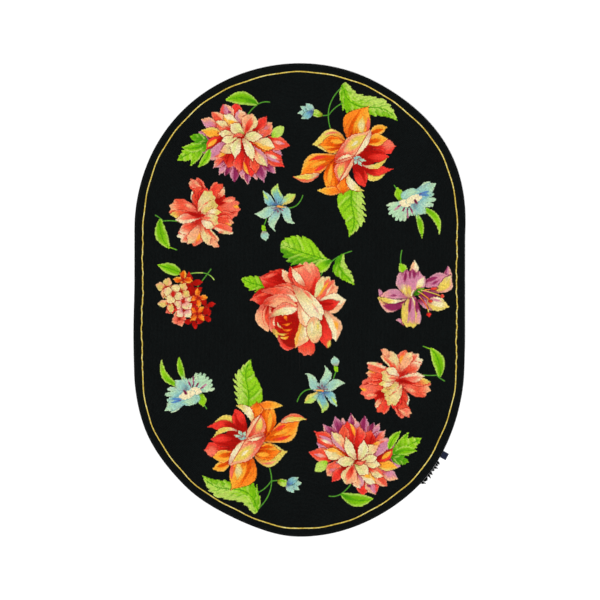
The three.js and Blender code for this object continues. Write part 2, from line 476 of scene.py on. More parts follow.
# Every other shape follows a bent line from its root to its tip; what it returns is the same.
def fitShape(row, order, px, py):
    dx, dy, reach = row["x1"] - row["x0"], row["y1"] - row["y0"], rowReach(row)
    along = (px * dx + py * dy) / reach ** 2
    across = (py * dx - px * dy) / reach
    bend = row["bow"] * 4 * along * (1 - along) + row["sway"] * np.sin(2 * math.pi * along)
    across = across - reach * bend
    if row["kind"] == "frill":
        ripple = min(.055, 1.3 / reach) * (1 + np.sin(across * .95 + order * 2))
        along = along / (1 - ripple * smooth(.4, .95, along))
    held = np.clip(along, 0, 1)
    lean = row["bow"] * 4 * (1 - 2 * held) + row["sway"] * 2 * math.pi * np.cos(2 * math.pi * held)
    half = row["girth"] / 2 * halfShare(row, order, held, across, reach)
    side = across / np.maximum(half, .01)
    inside = (np.abs(side) < 1) & (along > 0) & (along < 1)
    gap = np.hypot(np.maximum(np.abs(across) - half, 0), np.maximum(np.abs(along - .5) - .5, 0) * reach)
    return along, across, side, math.atan2(dy, dx) + np.arctan(lean), inside, gap


# Light strands between a leaf's side veins, dark ones along them, and the middle vein on top.
def layVeins(row, order, along, across, side, lay):
    vein = (along * rowReach(row) - np.abs(across) * 1.05) / stroke["tooth"]
    vein = vein + .3 + .4 * rollingNoise(across * .4, order)
    number = np.floor(vein)
    part = vein - number
    shade = strandNoise(number * 5 + np.sign(across), order + 1)
    bright = np.clip(.5 + .9 * shade, 0, 1) * smooth(.25, .75, part) * smooth(1.05, .8, part)
    lay("pear", bright * stroke["veinLaid"] * smooth(0, .25, np.abs(side)))
    dark = smooth(.42, .05, part) * smooth(.9, .55, np.abs(side)) * (shade < .45)
    lay("moss", dark * stroke["veinShade"])
    lay(row["mark"], (np.abs(across) < .5) * (along < .9) * stroke["markLaid"])


# The yarn colour at each place: the ramp, broken into strands, with the other yarns laid over it.
def dyeShape(row, order, along, across, side):
    kind = row["kind"]
    strand = np.floor(across / stroke["strand"])
    first = strandNoise(strand, order)
    dash = np.floor(along * rowReach(row) / stroke["dash"] + first * 2)
    second = strandNoise(strand * 3 + dash, order + 7)
    colour = rampColour(row["ramp"], along + .1 * first + .06 * second)

    def lay(name, weight):
        if name != ".":
            colour[:] += (yarns[name] - colour) * np.asarray(weight, float)[:, None]

    for name, way in (("left", 1), ("right", -1)):
        lay(row[name], smooth(.15, .6, way * side + .22 * second) * stroke["sideLaid"])
    if kind in ("petal", "frill", "fan"):
        # Each petal is hooked darker at its root and, unless it is deep red, paler along its rim.
        if not row["ramp"].startswith("deep"):
            lay("ivory", smooth(.6, .95, np.abs(side) + .12 * second) * stroke["rim"])
        colour *= 1 - smooth(.4, 0, along)[:, None] * np.array(stroke["rootShade"])
    if kind == "leaf":
        layVeins(row, order, along, across, side, lay)
    elif kind == "blade":
        lay(row["mark"], (np.abs(across) < .5) * (along < .9) * stroke["bladeLaid"])
        lay("pear", smooth(.5, .85, np.abs(side) + .1 * second) * stroke["bladeLaid"])
    else:
        fleck = (strandNoise(strand + 40, order) > .1) & (np.abs(side) < .78)
        middle = smooth(.8, .45, along + .3 * first) * smooth(.02, .1, along)
        lay(row["mark"], fleck * middle * stroke["markLaid"])
    return colour


# Places near enough to a row for its shape or its parting line to touch them.
def placesNear(row, x, y):
    spare = rowReach(row) if row["kind"] == "fan" else row["girth"] * .8
    spare += stroke["spare"]
    xs, ys = sorted((row["x0"], row["x1"])), sorted((row["y0"], row["y1"]))
    beside = (x > xs[0] - spare) & (x < xs[1] + spare)
    return np.flatnonzero(beside & (y > ys[0] - spare) & (y < ys[1] + spare))


# Later rows of a chart lie over earlier ones, and a thin line of another yarn parts them.
def paintChart(rows, lineName, x, y):
    colour = np.zeros((len(x), 3))
    owner = np.full(len(x), -1)
    turn = np.zeros(len(x))
    for order, row in enumerate(rows):
        chosen = placesNear(row, x, y)
        fit = fitFan if row["kind"] == "fan" else fitShape
        px, py = x[chosen] - row["x0"], y[chosen] - row["y0"]
        along, across, side, run, inside, gap = fit(row, order, px, py)
        paint = dyeShape(row, order, along, across, side)
        if row["kind"] in ("petal", "frill", "fan", "round"):
            line = chosen[~inside & (gap < stroke["lineWidth"]) & (owner[chosen] >= 0)]
            lineYarn = yarns[ownLine.get(row["ramp"].split("-")[0], lineName)]
            colour[line] = colour[line] * stroke["lineKeep"] + lineYarn * stroke["lineLaid"]
        # A streak is blended into the petal under it; everything else covers what it lies on.
        cover = smooth(1.05, .5, np.abs(side)) if row["kind"] == "streak" else np.ones(len(chosen))
        laid = chosen[inside]
        colour[laid] += (paint[inside] - colour[laid]) * cover[inside, None]
        turn[laid] = run[inside]
        owner[laid] = order
    return colour, owner, turn


dahliaRows = """
kind    x0  y0  x1  y1 girth bow belly ramp left right mark
round  -26   0  26  -2  36    0  .5 deep
petal   -6 -20  -7 -41   9    0  .5 wine-plum-plum . rose
petal    4 -20   7 -43  10    0  .5 wine-plum-plum rose blush
petal  -12 -18 -16 -34   8    0 .55 plum-plum-wine . rose
petal  -14 -18 -22 -33   6    0 .55 plum-rose-blush
petal  -13 -12 -28 -26  10    0  .5 red-coral-blush rose . plum
petal    1 -20   1 -36   8    0  .5 coral-rose-blush
petal   11 -22  16 -39   7    0  .5 coral-rose-blush
petal   16 -16  23 -40  11    0 .55 wine-plum-rose rose . plum
petal   18 -12  35 -32  10    0 .55 plum-plum-rose blush . plum
petal   20  -9  44 -25  12    0  .5 red-coral-scarlet
petal   15  -4  42 -19  15  .05 .55 red-coral-scarlet scarlet salmon
streak  22 -11  40 -21   5 -.03  .5 salmon-rose-rose
streak  26 -12  38 -17   4    0  .5 blush-ivory-peach
petal   26  -5  42 -14   5   .1  .5 coral-rose-rose
petal   24   2  50  -4  14    0 .45 red-coral-scarlet
streak  31   1  44  -2   5    0  .5 coral-blush-rose
petal   16   4  31  20  14    0  .6 scarlet-coral-peach peach . rose
streak  18   9  29  12   6    0  .5 coral-salmon-coral
petal   15  12  26  26   9    0  .5 red-scarlet-scarlet
petal    4  12   4  31   8    0  .5 rose-rose-blush
petal   -5  22  -5  40  12    0 .55 red-scarlet-scarlet
petal  -10  20 -18  39  14    0 .55 plum-rose-rose scarlet peach
streak -13  31  -9  29   3    0  .5 plum
petal  -15  16 -30  31  11    0  .5 red-coral-salmon . peach
petal  -22  15 -40  23  11    0 .55 scarlet-rose-peach rose peach
petal  -29   3 -43  11   8    0  .5 plum-rose-rose
petal  -17   7 -40  12  11    0  .5 orange-gold-gold . butter
petal  -14   4 -38  -8  14    0  .5 deep-scarlet-coral . . deep
streak -24   3 -34  -5   6    0  .5 gold-gold-butter
petal  -28  -5 -40 -10   5   .2  .5 plum-plum-rose
petal  -12   2 -36 -18  13  .05  .5 rose coral
streak -20 -16 -34 -17   4    0  .5 salmon-blush-rose
petal    1  17  -2  33  11    0  .6 coral-peach-ivory rose
petal   -4   8 -15  24  12    0  .5 red-coral-coral
petal   -1  18 -18  28  11   .1  .6 gold-ivory-ivory gold ivory
streak  -4  19 -14  23   5   .1  .5 gold-gold-butter
petal  -11  12 -26  21  10    0 .55 scarlet-cream-ivory coral
petal    4   8  12  29  17    0  .6 scarlet-coral-peach-peach peach cream
streak   6  11  11  26   7    0  .5 red-coral-peach
petal   -6  -4 -13 -26  16    0  .6 deep-red-coral . . deep
petal    1  -8  -2 -30  14    0  .6 red-scarlet-salmon . . red
petal    6 -10  11 -35  15    0  .6 red-scarlet-scarlet . . red
streak   3 -20   8 -33   4 -.06  .5 orange-gold-butter
petal   12 -10  15 -31  10    0  .6 red-coral-coral
streak -12  -6 -24 -16   6    0  .5 plum-gold-peach
petal    8   0  28  -9  11    0  .5 red-burnt-orange
petal   11   1  34  -6  12  .05  .6 peach-cream-ivory . gold
petal    9  -2  27 -25  11    0  .6 red-peach-cream rose
streak  16 -10  26 -24   6 -.02  .5 peach-cream-straw
petal   -4   2 -21 -10  10   .1  .6 peach-cream-peach
petal   -3   6 -23   9   9    0  .6 peach-cream-ivory . . straw
petal   -3   5 -20   1   8    0  .6 peach-cream-ivory . . straw
petal    3   8 -11  18  12    0  .6 pear-cream-ivory . . straw
petal    3   5  22   6  10    0  .5 straw-cream-ivory . . straw
petal   -1   4  -6 -17  10 -.08  .5 cream-ivory-ivory . . straw
petal    2   4  12 -20   9  .05  .5 cream-ivory-cream . . straw
streak   0   3   1  -8 1.8    0  .4 coral-deep-red
petal   -8   5   4   6 3.4  .15  .5 coral-salmon-coral
stem     7  28  17  38 1.5  .05  .5 stalk
stem    17  38  29  40 1.7   .1  .5 stalk
blade   17  38 -16  42  13 -.13  .5 moss-leaf-lime . . moss
blade  -31  -7 -43 -25   8  .08 .45 leaf-lime-lime . . moss
blade  -38  -5 -51 -24   7    0 .45 leaf-lime-lime . . moss
leaf   -35  -2 -64 -18  16    0 .45 moss-leaf-lime-lime . . moss
blade  -36  -2 -59  -5   9   .1  .5 moss-leaf-lime . . moss
leaf   -33   1 -51   6  11    0  .5 pine-moss-leaf . . moss
blade   31   5  43  16  10    0  .5 lime-pear-pear
"""

orangeRows = """
kind    x0  y0  x1  y1 girth bow belly ramp left right mark
leaf    -8  69  48  33  25 -.07/-.09  .4 leaf-lime-pear-lime pear leaf moss
leaf     3 -32  -1 -83  28 .04/-.05 .38 leaf-lime-lime pear lime moss
stem    -9  66 -19  24 1.5 -.16  .5 stalk
stem    -7  51 -21  39 1.4 -.08  .5 stalk
stem   -21  39 -31  38 1.4    0  .5 stalk
petal  -28  39 -41  43   7    0 .45 lime-pear-lime . . leaf
petal  -38  42 -53  41   7    0  .4 blue-ice-mint
petal  -38  42 -50  48   6    0 .45 blue-sky-ice-mint
petal  -37  42 -44  51   7    0 .45 blue-ice-ice-mint
petal  -37  42 -49  35   7    0 .45 blue-sky-mint
petal    1  12  19  48  26  .09  .5 deep-burnt-orange-gold orange gold burnt
streak   4  16  12  41   7  .05  .5 burnt-gold-gold
streak  12  20  13  38   9  .05  .5 butter-cream-butter
streak  17  21  18  38   5 -.05  .5 coral-salmon-coral
petal   -4  10 -38   9  24  -.1  .4 gold-butter-butter
streak -12  21 -27  18   3  -.1  .5 salmon-peach
petal   -4   9 -31   9  17 -.04  .5 deep-burnt-orange gold orange burnt
streak  -7  12 -21  13   6    0  .5 gold-gold-orange
streak  -6   6 -22   5   3    0  .5 deep-burnt
petal  -10  -2 -50 -22  21 -.08 .62 burnt-orange-orange . gold burnt
streak -20  -2 -43  -8   5 -.06  .5 burnt-scarlet-burnt
streak -24  -7 -44 -16   5 -.04  .5 gold-gold-orange
streak -22 -10 -37 -18   5    0  .5 burnt-scarlet-scarlet
petal  -31 -20 -58 -22   8  .12 .45 ivory-butter-butter coral
frill  -14  -4 -16 -38  15 -.11  .6 deep-burnt-orange-gold burnt . burnt
streak -18 -10 -20 -32   6 -.05  .5 orange-gold-gold
petal   -7 -36 -34 -36   8  .04 .45 orange-orange-gold-butter
petal   -6 -24  -7 -40  13    0 .55 orange-orange-burnt . . burnt
round    2   6  26  -6  24    0  .5 deep
petal   17  16  38  27  10   .1  .6 burnt-gold-gold
streak  17  16  34  25   5  .08  .6 deep-burnt-burnt
petal   20   6  46   8  15    0  .7 deep-red-salmon-salmon . scarlet
petal   12  10  38  15  12  .05  .6 burnt-gold-gold
streak  14  10  33  14   6  .05  .6 deep-burnt-orange
petal    7   1  40  -3  12 -.02  .6 deep-deep-red-scarlet . . deep
streak  18  -3  38  -3   7    0  .5 red-scarlet-scarlet
petal    6 -12  39 -16   9 -.26  .6 ivory-butter-butter
petal    6  -8  43 -15  11 -.12 .55 deep-deep-scarlet-scarlet . . deep
streak  22 -15  42 -16   6 -.06  .5 red-scarlet-scarlet
petal   12 -11  37  -4   5  -.2 .55 ivory-butter-butter
petal   -3 -16  15 -37   8 -.22 .55 butter-ivory-butter
petal    2  -8  15 -34  13  .06  .6 deep-deep-scarlet-scarlet . . deep
streak   6 -18  14 -32   6  .04  .5 red-scarlet-scarlet
petal    1  -4 -11 -29  15 -.12  .5 coral-salmon-salmon salmon
streak  -5  -6 -11 -26   8 -.06  .5 salmon-butter-cream
petal  -15  -8  20  24  19 -.02 .52 coral-salmon-peach-peach . peach
streak  -6   2  18  20  12  .03  .5 peach-butter-butter-butter
streak   2   8   9  14   4    0  .5 ivory
petal   21  23   3  -4   5  .07 .45 ivory-ivory-peach
petal    5  -1 -11 -28 3.6  .06  .5 ivory-peach-ivory
petal  -14  -7   5  -2 2.8   .1  .5 peach-ivory-peach
round    4  -5  12  -5   6    0  .5 sky-ice-sky
petal    8  -5  16  -7   3    0  .5 ice-mint
petal    7  -6  12 -12   3    0  .5 ice-mint
petal    6  -5   5 -11   3    0  .5 ice-mint
"""

coralRows = """
kind    x0  y0  x1  y1 girth bow belly ramp left right mark
stem   -46  -1 -37  -8 1.5  .05  .5 stalk
stem   -38  -7 -16  -9 1.6  .05  .5 stalk
stem   -32 -33 -24 -36 1.5    0  .5 lime-stalk
blade  -41  -5 -31 -35  12 -.12  .5 leaf-leaf-lime . . moss
round  -14   8  16 -12  22    0  .5 deep-red-coral
frill    4   6  20  20  15    0  .7 deep-deep-red . . deep
frill    6   6  27  16  16    0  .7 deep-deep-red . . deep
frill   10   3  39   8  20    0 .72 deep-coral-salmon-salmon . . deep
frill    8  -1  34  -3  10    0  .7 red-coral-salmon . . red
streak  22  12  34  14   4    0  .5 coral-peach-peach
streak  31   9  39   6   4    0  .5 salmon-gold-gold
streak  15  10  25  12   4    0  .5 deep-deep-red
frill    9  15  21  30  14    0 .65 red-coral-coral . . scarlet
petal   16  16  23  27   5  -.1  .5 coral-peach-ivory
petal   12  -5  33  -9  12    0  .6 red-coral-coral-peach . . red
streak  19 -11  31 -11   5    0  .5 coral-gold-butter
frill    5  -9  33 -18   9    0 .65 red-coral-salmon . ivory coral
streak  17 -18  31 -19   4    0  .5 salmon-cream-peach
petal   -4   7  -9  24   7    0 .55 coral-ivory-ivory
petal   -2   2  -4  27  11    0  .6 deep-coral-coral . . red
frill    1   6  -8  36  14 -.08 .78 deep-red-coral-salmon . salmon deep
petal    0  29 -13  31   8    0 .55 coral-salmon-peach
streak   1  27  -8  35   4   .1  .6 peach-peach-salmon
petal   -1   4   6  27  11    0 .65 deep-scarlet-scarlet . salmon deep
streak   0   4   1  24   3    0  .5 deep-deep-red
frill    0   0 -32   7  18 -.05 .68 deep-salmon-coral-peach . . coral
streak  -5   5 -19  11   4    0  .5 salmon-peach-coral
petal   -4  -1 -32   0   9    0  .6 coral-coral-butter butter . deep
petal    0  -3 -26  -6  10    0  .6 red-salmon-ivory ivory
streak   0  -2 -17   2   5    0  .4 deep-deep-red
frill   -1  -7 -21 -27  17  .04 .75 coral-coral-salmon-ivory . . coral
petal   -2  -8 -22 -19  11    0 .65 red-coral-ivory
frill    0  -9 -11 -31  15  .06  .7 coral-peach-peach-cream coral
streak  -1 -14  -6 -30   4   .1  .6 peach-gold-coral
frill    0  -7  17 -31  13  -.1  .6 coral-cream-peach . . coral
petal   10 -25  19 -33   6  -.1  .5 peach-peach-salmon
streak   1 -10  14 -28   3  .05  .5 coral-coral-peach
frill   -3   2  11  23  14    0 .68 peach-cream-wheat . . cream
frill   -1   3  17  11  10    0 .66 cream-wheat-wheat
streak   0   2  11  14   9    0  .5 peach-cream-wheat
frill    0   1  16   4   8    0 .66 cream-wheat-wheat
streak   0   3  12   6   6    0  .5 cream-wheat-wheat
streak   1   8   9  13   2    0  .5 peach-salmon-butter
petal    2  -4  21   2   7   .1  .6 salmon-ivory-butter
frill    0  -4  18  -8  12    0  .6 salmon-cream-wheat . . peach
petal    0  -6  13 -14   8 -.05  .6 ivory-ivory-cream
streak   1  -4  12  -4   3    0  .5 coral-salmon-peach
"""

starRows = """
kind    x0  y0  x1  y1 girth bow belly ramp left right mark
stem     4   0  25  12 1.4 -.24  .5 stalk
stem   -11  -8 -15 -20 1.4  .06  .5 stalk
round  -15 -18 -13 -26   4    0  .5 lime-lime-leaf
petal  -14 -24 -12 -34   8    0 .45 mint-ice-mint
petal    0   1 -15  17   8 .13/.03  .5 blue-sky-ice-mint
streak  -8   6 -15  16   3  .06  .5 ice-pear-pear
petal    0   1   1  24  10 .06/-.09  .5 blue-sky-pear-pear . . sky
petal    1   1  18  13   9  .02 .62 sky-ice-pear-pear . butter sky
petal    0   0  18 -17   9 .02/.08 .42 sky-ice-mint-mint . . ice
petal    0   0  -2 -25   9 -.14/.07 .45 sky-ice-mint-mint . . ice
petal    0   0 -24  -6   9 .1/-.05  .5 sky-ice-mint-mint . . ice
streak  -1  -1  -7  -1 1.4    0  .5 plum-wine
streak  -1  -2  -5  -4 1.4    0  .5 plum-blue
streak   0  -2   0  -7 1.4    0  .5 wine-plum
streak   1  -1   6  -4 1.6    0  .5 wine-plum
streak   0   2  -5   4 1.3    0  .5 blue-slate
streak   0   2   1   6 1.2    0  .5 blue-slate
streak   1   2   6   4 1.2    0  .5 slate-sky
petal   -2   1   9   0   2    0  .3 peach-gold-peach
"""

carnationRows = """
kind    x0  y0  x1  y1 girth bow belly ramp left right mark
stem   -15  13 -19  19 1.4    0  .5 stalk
petal  -12   2 -16  17   8    0 .55 leaf-lime-lime
blade    3  -8   9 -34   6  .05  .5 mint-leaf-lime-lime . . leaf
blade    9  -4  26 -32   7   .2  .4 leaf-leaf-lime-pear
fan     -9   2  22  11  56    0  .5 sky-ice-ice-mint . . sky
frill  -12   9  23  20  10  -.1  .7 mint-sky-ice-mint
round  -12   8   9  10  13    0  .5 ice-mint-sky
fan     -5   4 -20 -12  76    0  .5 ice-ice-mint-mint . . mint
fan     -1   2   0 -13  64    0  .5 sky-ice-mint
petal    1   0  13 -10  11    0  .5 sky-ice-mint
round  -14   1  -1   1   8    0  .5 ivory
round   -7   2   9   8   8    0  .5 ivory
streak -11   0 -20  -7 2.4    0  .6 plum-rose-rose
streak -12  -1 -16  -3 1.8    0  .6 plum
streak  -8  -3 -11  -8 2.2    0  .5 wine-plum
streak  -6  -4  -5 -15 1.8    0  .5 plum-rose
streak  -3  -3   0 -10 2.6    0  .5 wine-plum-rose
streak   1   5   5  -1 3.2    0  .4 wine-wine-rose
streak   6  10  17  13   3    0  .5 wine-blue-blue
streak   6   9  18   9   3    0  .5 blue-blue-sky
"""

lilyRows = """
kind    x0  y0  x1  y1 girth bow belly ramp left right mark
stem   -13  47 -14  32 1.6 -.05  .5 stalk
blade   -9  23 -15  34   8    0  .5 leaf-lime-lime
petal   -4  23  -1  38   8 -.16  .4 blush-ivory-ivory peach
petal   31  15  33  32   8 -.06  .4 rose plum blush
petal    6  12  35  22  15 -.03  .6 rose-rose-blush rose . rose
streak  10  15  24  20   5  .04  .5 plum
streak  14  11  26  18   3    0  .5 rose-plum-rose
petal   19   6  36  23  13  -.2 .55 butter-butter-cream . blush
streak  22   7  35  19   5  -.2  .5 butter
petal    2   4  28   0  11    0  .5 plum-plum-wine
petal    3  -3  22 -12   9    0 .55 plum-rose-blush
petal   12  -4  35 -10  14    0 .45 cream-ivory-butter . butter
streak  15  -1  28  -4   3 -.04  .5 blush-rose-blush
petal  -34   0 -37   9   4  -.1  .3 rose
petal   -9  -3 -38   0  15  .22 .55 plum-plum-butter blush
streak -12  -9 -33  -8   9  .08  .5 plum
petal   -7   0 -36   0  10 -.12  .5 rose-rose-blush
streak -18   2 -27   1   3    0  .5 plum-rose
petal   -8  -2 -38   1   5  .12  .6 ivory-ivory-butter-butter
petal  -11 -28 -20 -23   4 -.25  .4 plum-rose-blush
frill   -3   5  -4 -31  19    0  .7 plum-rose-rose-rose-butter . butter
streak -12  -6 -12 -29   4    0  .5 butter
streak -11 -27   2 -28   4    0  .5 butter
streak  -3   0   0 -26   3   .1  .5 ivory-butter-butter
streak  -4  -2  -6 -17   4    0  .5 plum
streak   1  -1   2 -18   4    0  .5 plum
streak   3  -6   5 -15   2    0  .5 wine-plum
streak   5 -18   0 -27   4    0  .5 rose-blush-peach
frill   -6  -1  -3  28  29    0 .55 cream-butter-rose-rose-rose-plum
streak  -9   3 -14  16   5    0  .5 butter-cream-rose
streak  -4   1  -7  13   4    0  .5 butter-butter-blush
streak   2   8   9  20   9    0  .5 butter-ivory-ivory
streak  -9  25 -11  12   4    0  .4 plum-plum-rose
streak  -5  26  -5  17   3    0  .4 plum-plum-rose
streak  -2  26   0  16   3    0  .4 plum-plum-rose
streak  -4   1   0   8   3    0  .5 ivory
petal   -2   2  10   9   6    0  .5 pine-moss-leaf
streak   2   8   2   3   3    0  .5 pine
stem     8   7  18   8 1.9    0  .5 gold-salmon
stem     6   7  26   1 1.9  .03  .5 peach-butter-gold
stem     3   6  15  -3 1.9  .03  .5 peach-gold-orange
stem     4   1  13 -12 1.9  .05  .5 peach-coral-orange
stem    13 -12  14 -16 1.5    0  .5 butter
petal   16   8  23   9   3    0  .5 scarlet-coral
petal   26   2  29   0   4    0  .5 scarlet-coral
petal   13  -4  18  -4   3    0  .5 red-scarlet
round   12 -17  16 -18   4    0  .5 red-scarlet
"""

roseRows = """
kind    x0  y0  x1  y1 girth bow belly ramp left right mark
stem    19  32  52  60 1.5  .12  .5 stalk
leaf    32  50 -19  67  31  .02 .64 leaf-lime-lime-pear moss lime moss
blade   31  51  13  39  12    0  .5 moss-lime-lime
leaf    42  57  55  26  15 -.2/-.05 .45 moss-leaf-lime pear . moss
leaf   -35  25 -59  33  16  .05 .42 leaf-lime-lime . . moss
round  -30   6  24   0  40    0  .5 deep-red-coral
petal   -7  24 -31  40  15 -.06 .55 deep-deep-red-coral . . deep
petal   -8  23 -41  34  18    0 .62 deep-deep-red-salmon . . deep
streak -22  38 -37  33   4    0  .5 scarlet-salmon-salmon
petal  -16  18 -50  11  17 -.02 .58 deep-deep-red-salmon . . deep
streak -26  20 -46  14   4    0  .5 scarlet-coral-salmon
petal   -5  24 -18  42   8  .04 .62 salmon-peach-ivory
petal    1  22 -10  45  12    0  .6 deep-deep-red-red scarlet deep
frill   13  13   3  49  29  .02  .6 deep-coral-salmon-peach
streak  13  12  16  36   8 -.03  .5 deep-red-scarlet
streak  10  22   7  42   9    0  .5 coral-salmon-salmon
streak  13  36   4  48   5    0  .5 salmon-peach-peach
petal    5  25  -9  44 6.5  .04  .5 peach-ivory-peach
streak  -8  43   5  46   3    0  .5 deep-red-red
frill   14  11  33  32  21 -.03 .72 coral-coral-salmon cream peach
streak  15  13  24  31   9    0 .55 cream-straw-cream
streak  17  12  29  30   4    0  .6 salmon-gold-gold
streak  20  11  31  28   5    0  .5 coral-salmon-coral
streak  25  14  32  27 2.4    0  .5 peach-ivory-peach
petal   16   7  47  11  20 -.04 .56 peach-ivory-ivory ivory peach
petal   17   8  40  10  11 -.14  .5 deep-red-scarlet
streak  17   8  34   8   4 -.06  .5 deep
petal   23   0  36 -31  17  .11 .55 cream-ivory-ivory peach
streak  33  -7  37 -21   5   .1  .5 peach-gold-peach
petal   22   0  27 -37  13    0 .66 deep-red-scarlet-coral . . deep
streak  30 -29  28 -37   5    0  .5 butter
frill    9 -25   5 -45  17    0  .6 deep-scarlet-coral-salmon
petal  -30  10 -45  -8  13  .16  .6 salmon-peach-cream
petal  -34   9 -31 -22  17 -.12  .5 salmon-peach-peach
streak -33   9 -31 -20 2.6 -.16  .5 deep-red-coral
streak -30   8 -27 -20   6 -.16  .5 deep-coral-salmon
streak -34   5 -33 -16 2.4 -.14  .5 salmon-peach-peach
petal  -28  -3 -16 -24  10 -.18 .55 coral-salmon-coral
petal  -28 -18  -8 -25   8 -.14  .5 butter-butter-gold
petal  -22 -25   0 -33  14 -.14  .5 salmon-scarlet-red
round  -13   1  -7 -36  25    0  .5 red-deep-deep-garnet
round  -27 -11   0 -12  22    0  .5 red-deep-deep-deep
streak -25  -5 -24 -17 2.4 -.15  .5 salmon-ivory-salmon
streak -16  -3 -13 -10   4    0  .5 burnt-orange-burnt
streak -18 -13  -8 -11 2.8 -.16  .5 burnt-orange-burnt
streak -23 -11 -16 -18 2.4 -.12  .5 ivory-cream-burnt
streak -18 -18  -7 -17   3 -.16  .5 burnt-orange-red
streak -24 -21 -10 -21   3  -.2  .5 gold-butter-burnt
streak -20 -26 -10 -24 3.4  -.2  .5 butter-gold-burnt
petal    0  -8  -5 -37  14  .18  .6 butter-cream-peach . gold
streak   4 -13   1 -31   4  .16  .5 ivory-ivory-peach
petal  -28  22   1  11  12  .19  .5 salmon-coral-salmon
streak -20  24  -5  19   4  .12  .5 salmon-peach-salmon
petal  -39  20  -1  10  12   .1  .6 salmon-coral-salmon-peach
streak -21  15   0   9   9  .04  .5 peach-ivory-ivory
petal  -37   8  -1   4  14  .12  .5 coral-peach-peach-cream salmon
petal  -32  -7   0   2  12  .12  .6 salmon-cream-ivory-ivory salmon
petal   -2  11   9 -19  13  .03  .6 peach-ivory-ivory . peach
streak   2   8   8  -5 2.6    0  .5 gold-peach
frill   -8  26  22  -9  17  .03 .66 peach-cream-ivory-ivory
streak   1  22  13  10   4  .06  .5 peach-salmon-peach
streak  12   8  20  -4 2.6    0  .5 peach-blush-cream
round   14  -6  15 -32  15    0  .5 peach-cream-cream-peach
streak  18 -10  18 -22   3    0  .5 straw-butter-straw
streak  12 -10  12 -24   3    0  .5 ivory
"""

clusterFlorets = """
  x   y reach girth turn ramp rim eye size
  8  14    12     6   10 deep-deep-red . deep 3
 10   3    12     7   40 deep . deep 3
 23  -9    10     5   20 deep-deep-red . garnet 3
 20 -18    10     5   55 deep-deep-red . garnet 3
 10 -22    10     5   15 deep-deep-red . garnet 3
  6  -6    14    10   30 deep-red-deep . deep 3
 -8  -7    12     9   40 deep-scarlet-salmon . deep 3
  0  18    10     6   85 red-burnt-orange gold garnet 2
 15   0    10     5    2 red-orange-gold burnt garnet 2
 14 -16    10     5   45 red-orange-gold burnt garnet 2
-17  10    11     8   72 coral-wheat-wheat-peach peach deep 3
-14  -4    12     7   10 coral-wheat-wheat-cream peach deep 3
 -4 -21     8     7   20 coral-salmon-peach . deep 2
  1 -12    10     8   40 rose-blush-ivory-cream . deep 3
  0  -3    10     8   25 salmon-blush-cream-blush . red 4
 -2   6    10     8   62 coral-wheat-wheat-peach peach deep 2
-10   4    11     9   62 salmon-cream-cream-blush . red 5
"""

clusterRows = """
kind    x0  y0  x1  y1 girth bow belly ramp left right mark
stem    13   9  28  29 1.5    0  .5 stalk
stem     2  23  20  25 1.8  .05  .5 stalk-pear
stem    20  25  31  18 1.8  .12  .5 stalk-pear
blade   -3  25 -26  33  11 -.03  .4 leaf-leaf-lime . . moss
"""

flowers = [
    {"name": "dahliaUpperLeft", "chart": dahliaRows, "x": -222, "y": 600, "turn": 0, "line": "garnet"},
    {"name": "dahliaLowerRight", "chart": dahliaRows, "x": 222, "y": -593, "turn": 180, "line": "garnet"},
    {"name": "orangeBloomUpperRight", "chart": orangeRows, "x": 192, "y": 555, "turn": 0, "line": "red"},
    {"name": "orangeBloomLowerLeft", "chart": orangeRows, "x": -188, "y": -540, "turn": 180, "line": "red"},
    {"name": "coralBloomLeft", "chart": coralRows, "x": -374, "y": 327, "turn": 0, "line": "red"},
    {"name": "coralBloomRight", "chart": coralRows, "x": 378, "y": -312, "turn": 180, "line": "red"},
    {"name": "starFlowerUpper", "chart": starRows, "x": -82, "y": 353, "turn": 0, "line": "slate"},
    {"name": "starFlowerLower", "chart": starRows, "x": 86, "y": -342, "turn": 180, "line": "slate"},
    {"name": "carnationRight", "chart": carnationRows, "x": 432, "y": 365, "turn": 0, "line": "sky"},
    {"name": "carnationLeft", "chart": carnationRows, "x": -424, "y": -342, "turn": 180, "line": "sky"},
    {"name": "roseMiddle", "chart": roseRows, "x": 2, "y": -42, "turn": 0, "line": "red"},
    {"name": "lilyRight", "chart": lilyRows, "x": 439, "y": 11, "turn": 0, "line": "wine"},
    {"name": "flowerClusterLeft", "chart": clusterRows, "florets": clusterFlorets, "x": -442, "y": 8,
     "turn": 0, "line": "deep"},
]


# What the finishes share: two shades mixed by a tone, and a roughness and a bump by patterns of their own.
def finish(tree, shader, look, gloss, tone=None, grain=None, relief=None):
    if tone:
        tint = addNode(tree, "ShaderNodeMix", {"data_type": "RGBA"},
                       {6: linearHex(look["dark"]), 7: linearHex(look["light"])}, {0: tone})
        tree.links.new(tint.outputs[2], shader.inputs["Base Color"])
    if grain:
        rough = addNode(tree, "ShaderNodeMapRange", values=look["rough"], links={"Value": grain})
        tree.links.new(rough.outputs["Result"], shader.inputs["Roughness"])
    if relief:
        bump = addNode(tree, "ShaderNodeBump", values=look["bump"], links={"Height": relief})
        tree.links.new(bump.outputs["Normal"], shader.inputs["Normal"])
    shader.inputs["Specular IOR Level"].default_value = gloss


# The yarn's own dye, made lighter and darker by a pattern.
def dyeYarn(tree, shader, pattern, limits):
    yarn = addNode(tree, "ShaderNodeAttribute", {"attribute_name": "yarnColor"})
    depth = addNode(tree, "ShaderNodeMapRange", values=limits, links={"Value": pattern})
    shade = addNode(tree, "ShaderNodeVectorMath", {"operation": "SCALE"},
                    links={0: yarn.outputs["Color"], "Scale": depth.outputs["Result"]})
    tree.links.new(shade.outputs["Vector"], shader.inputs["Base Color"])


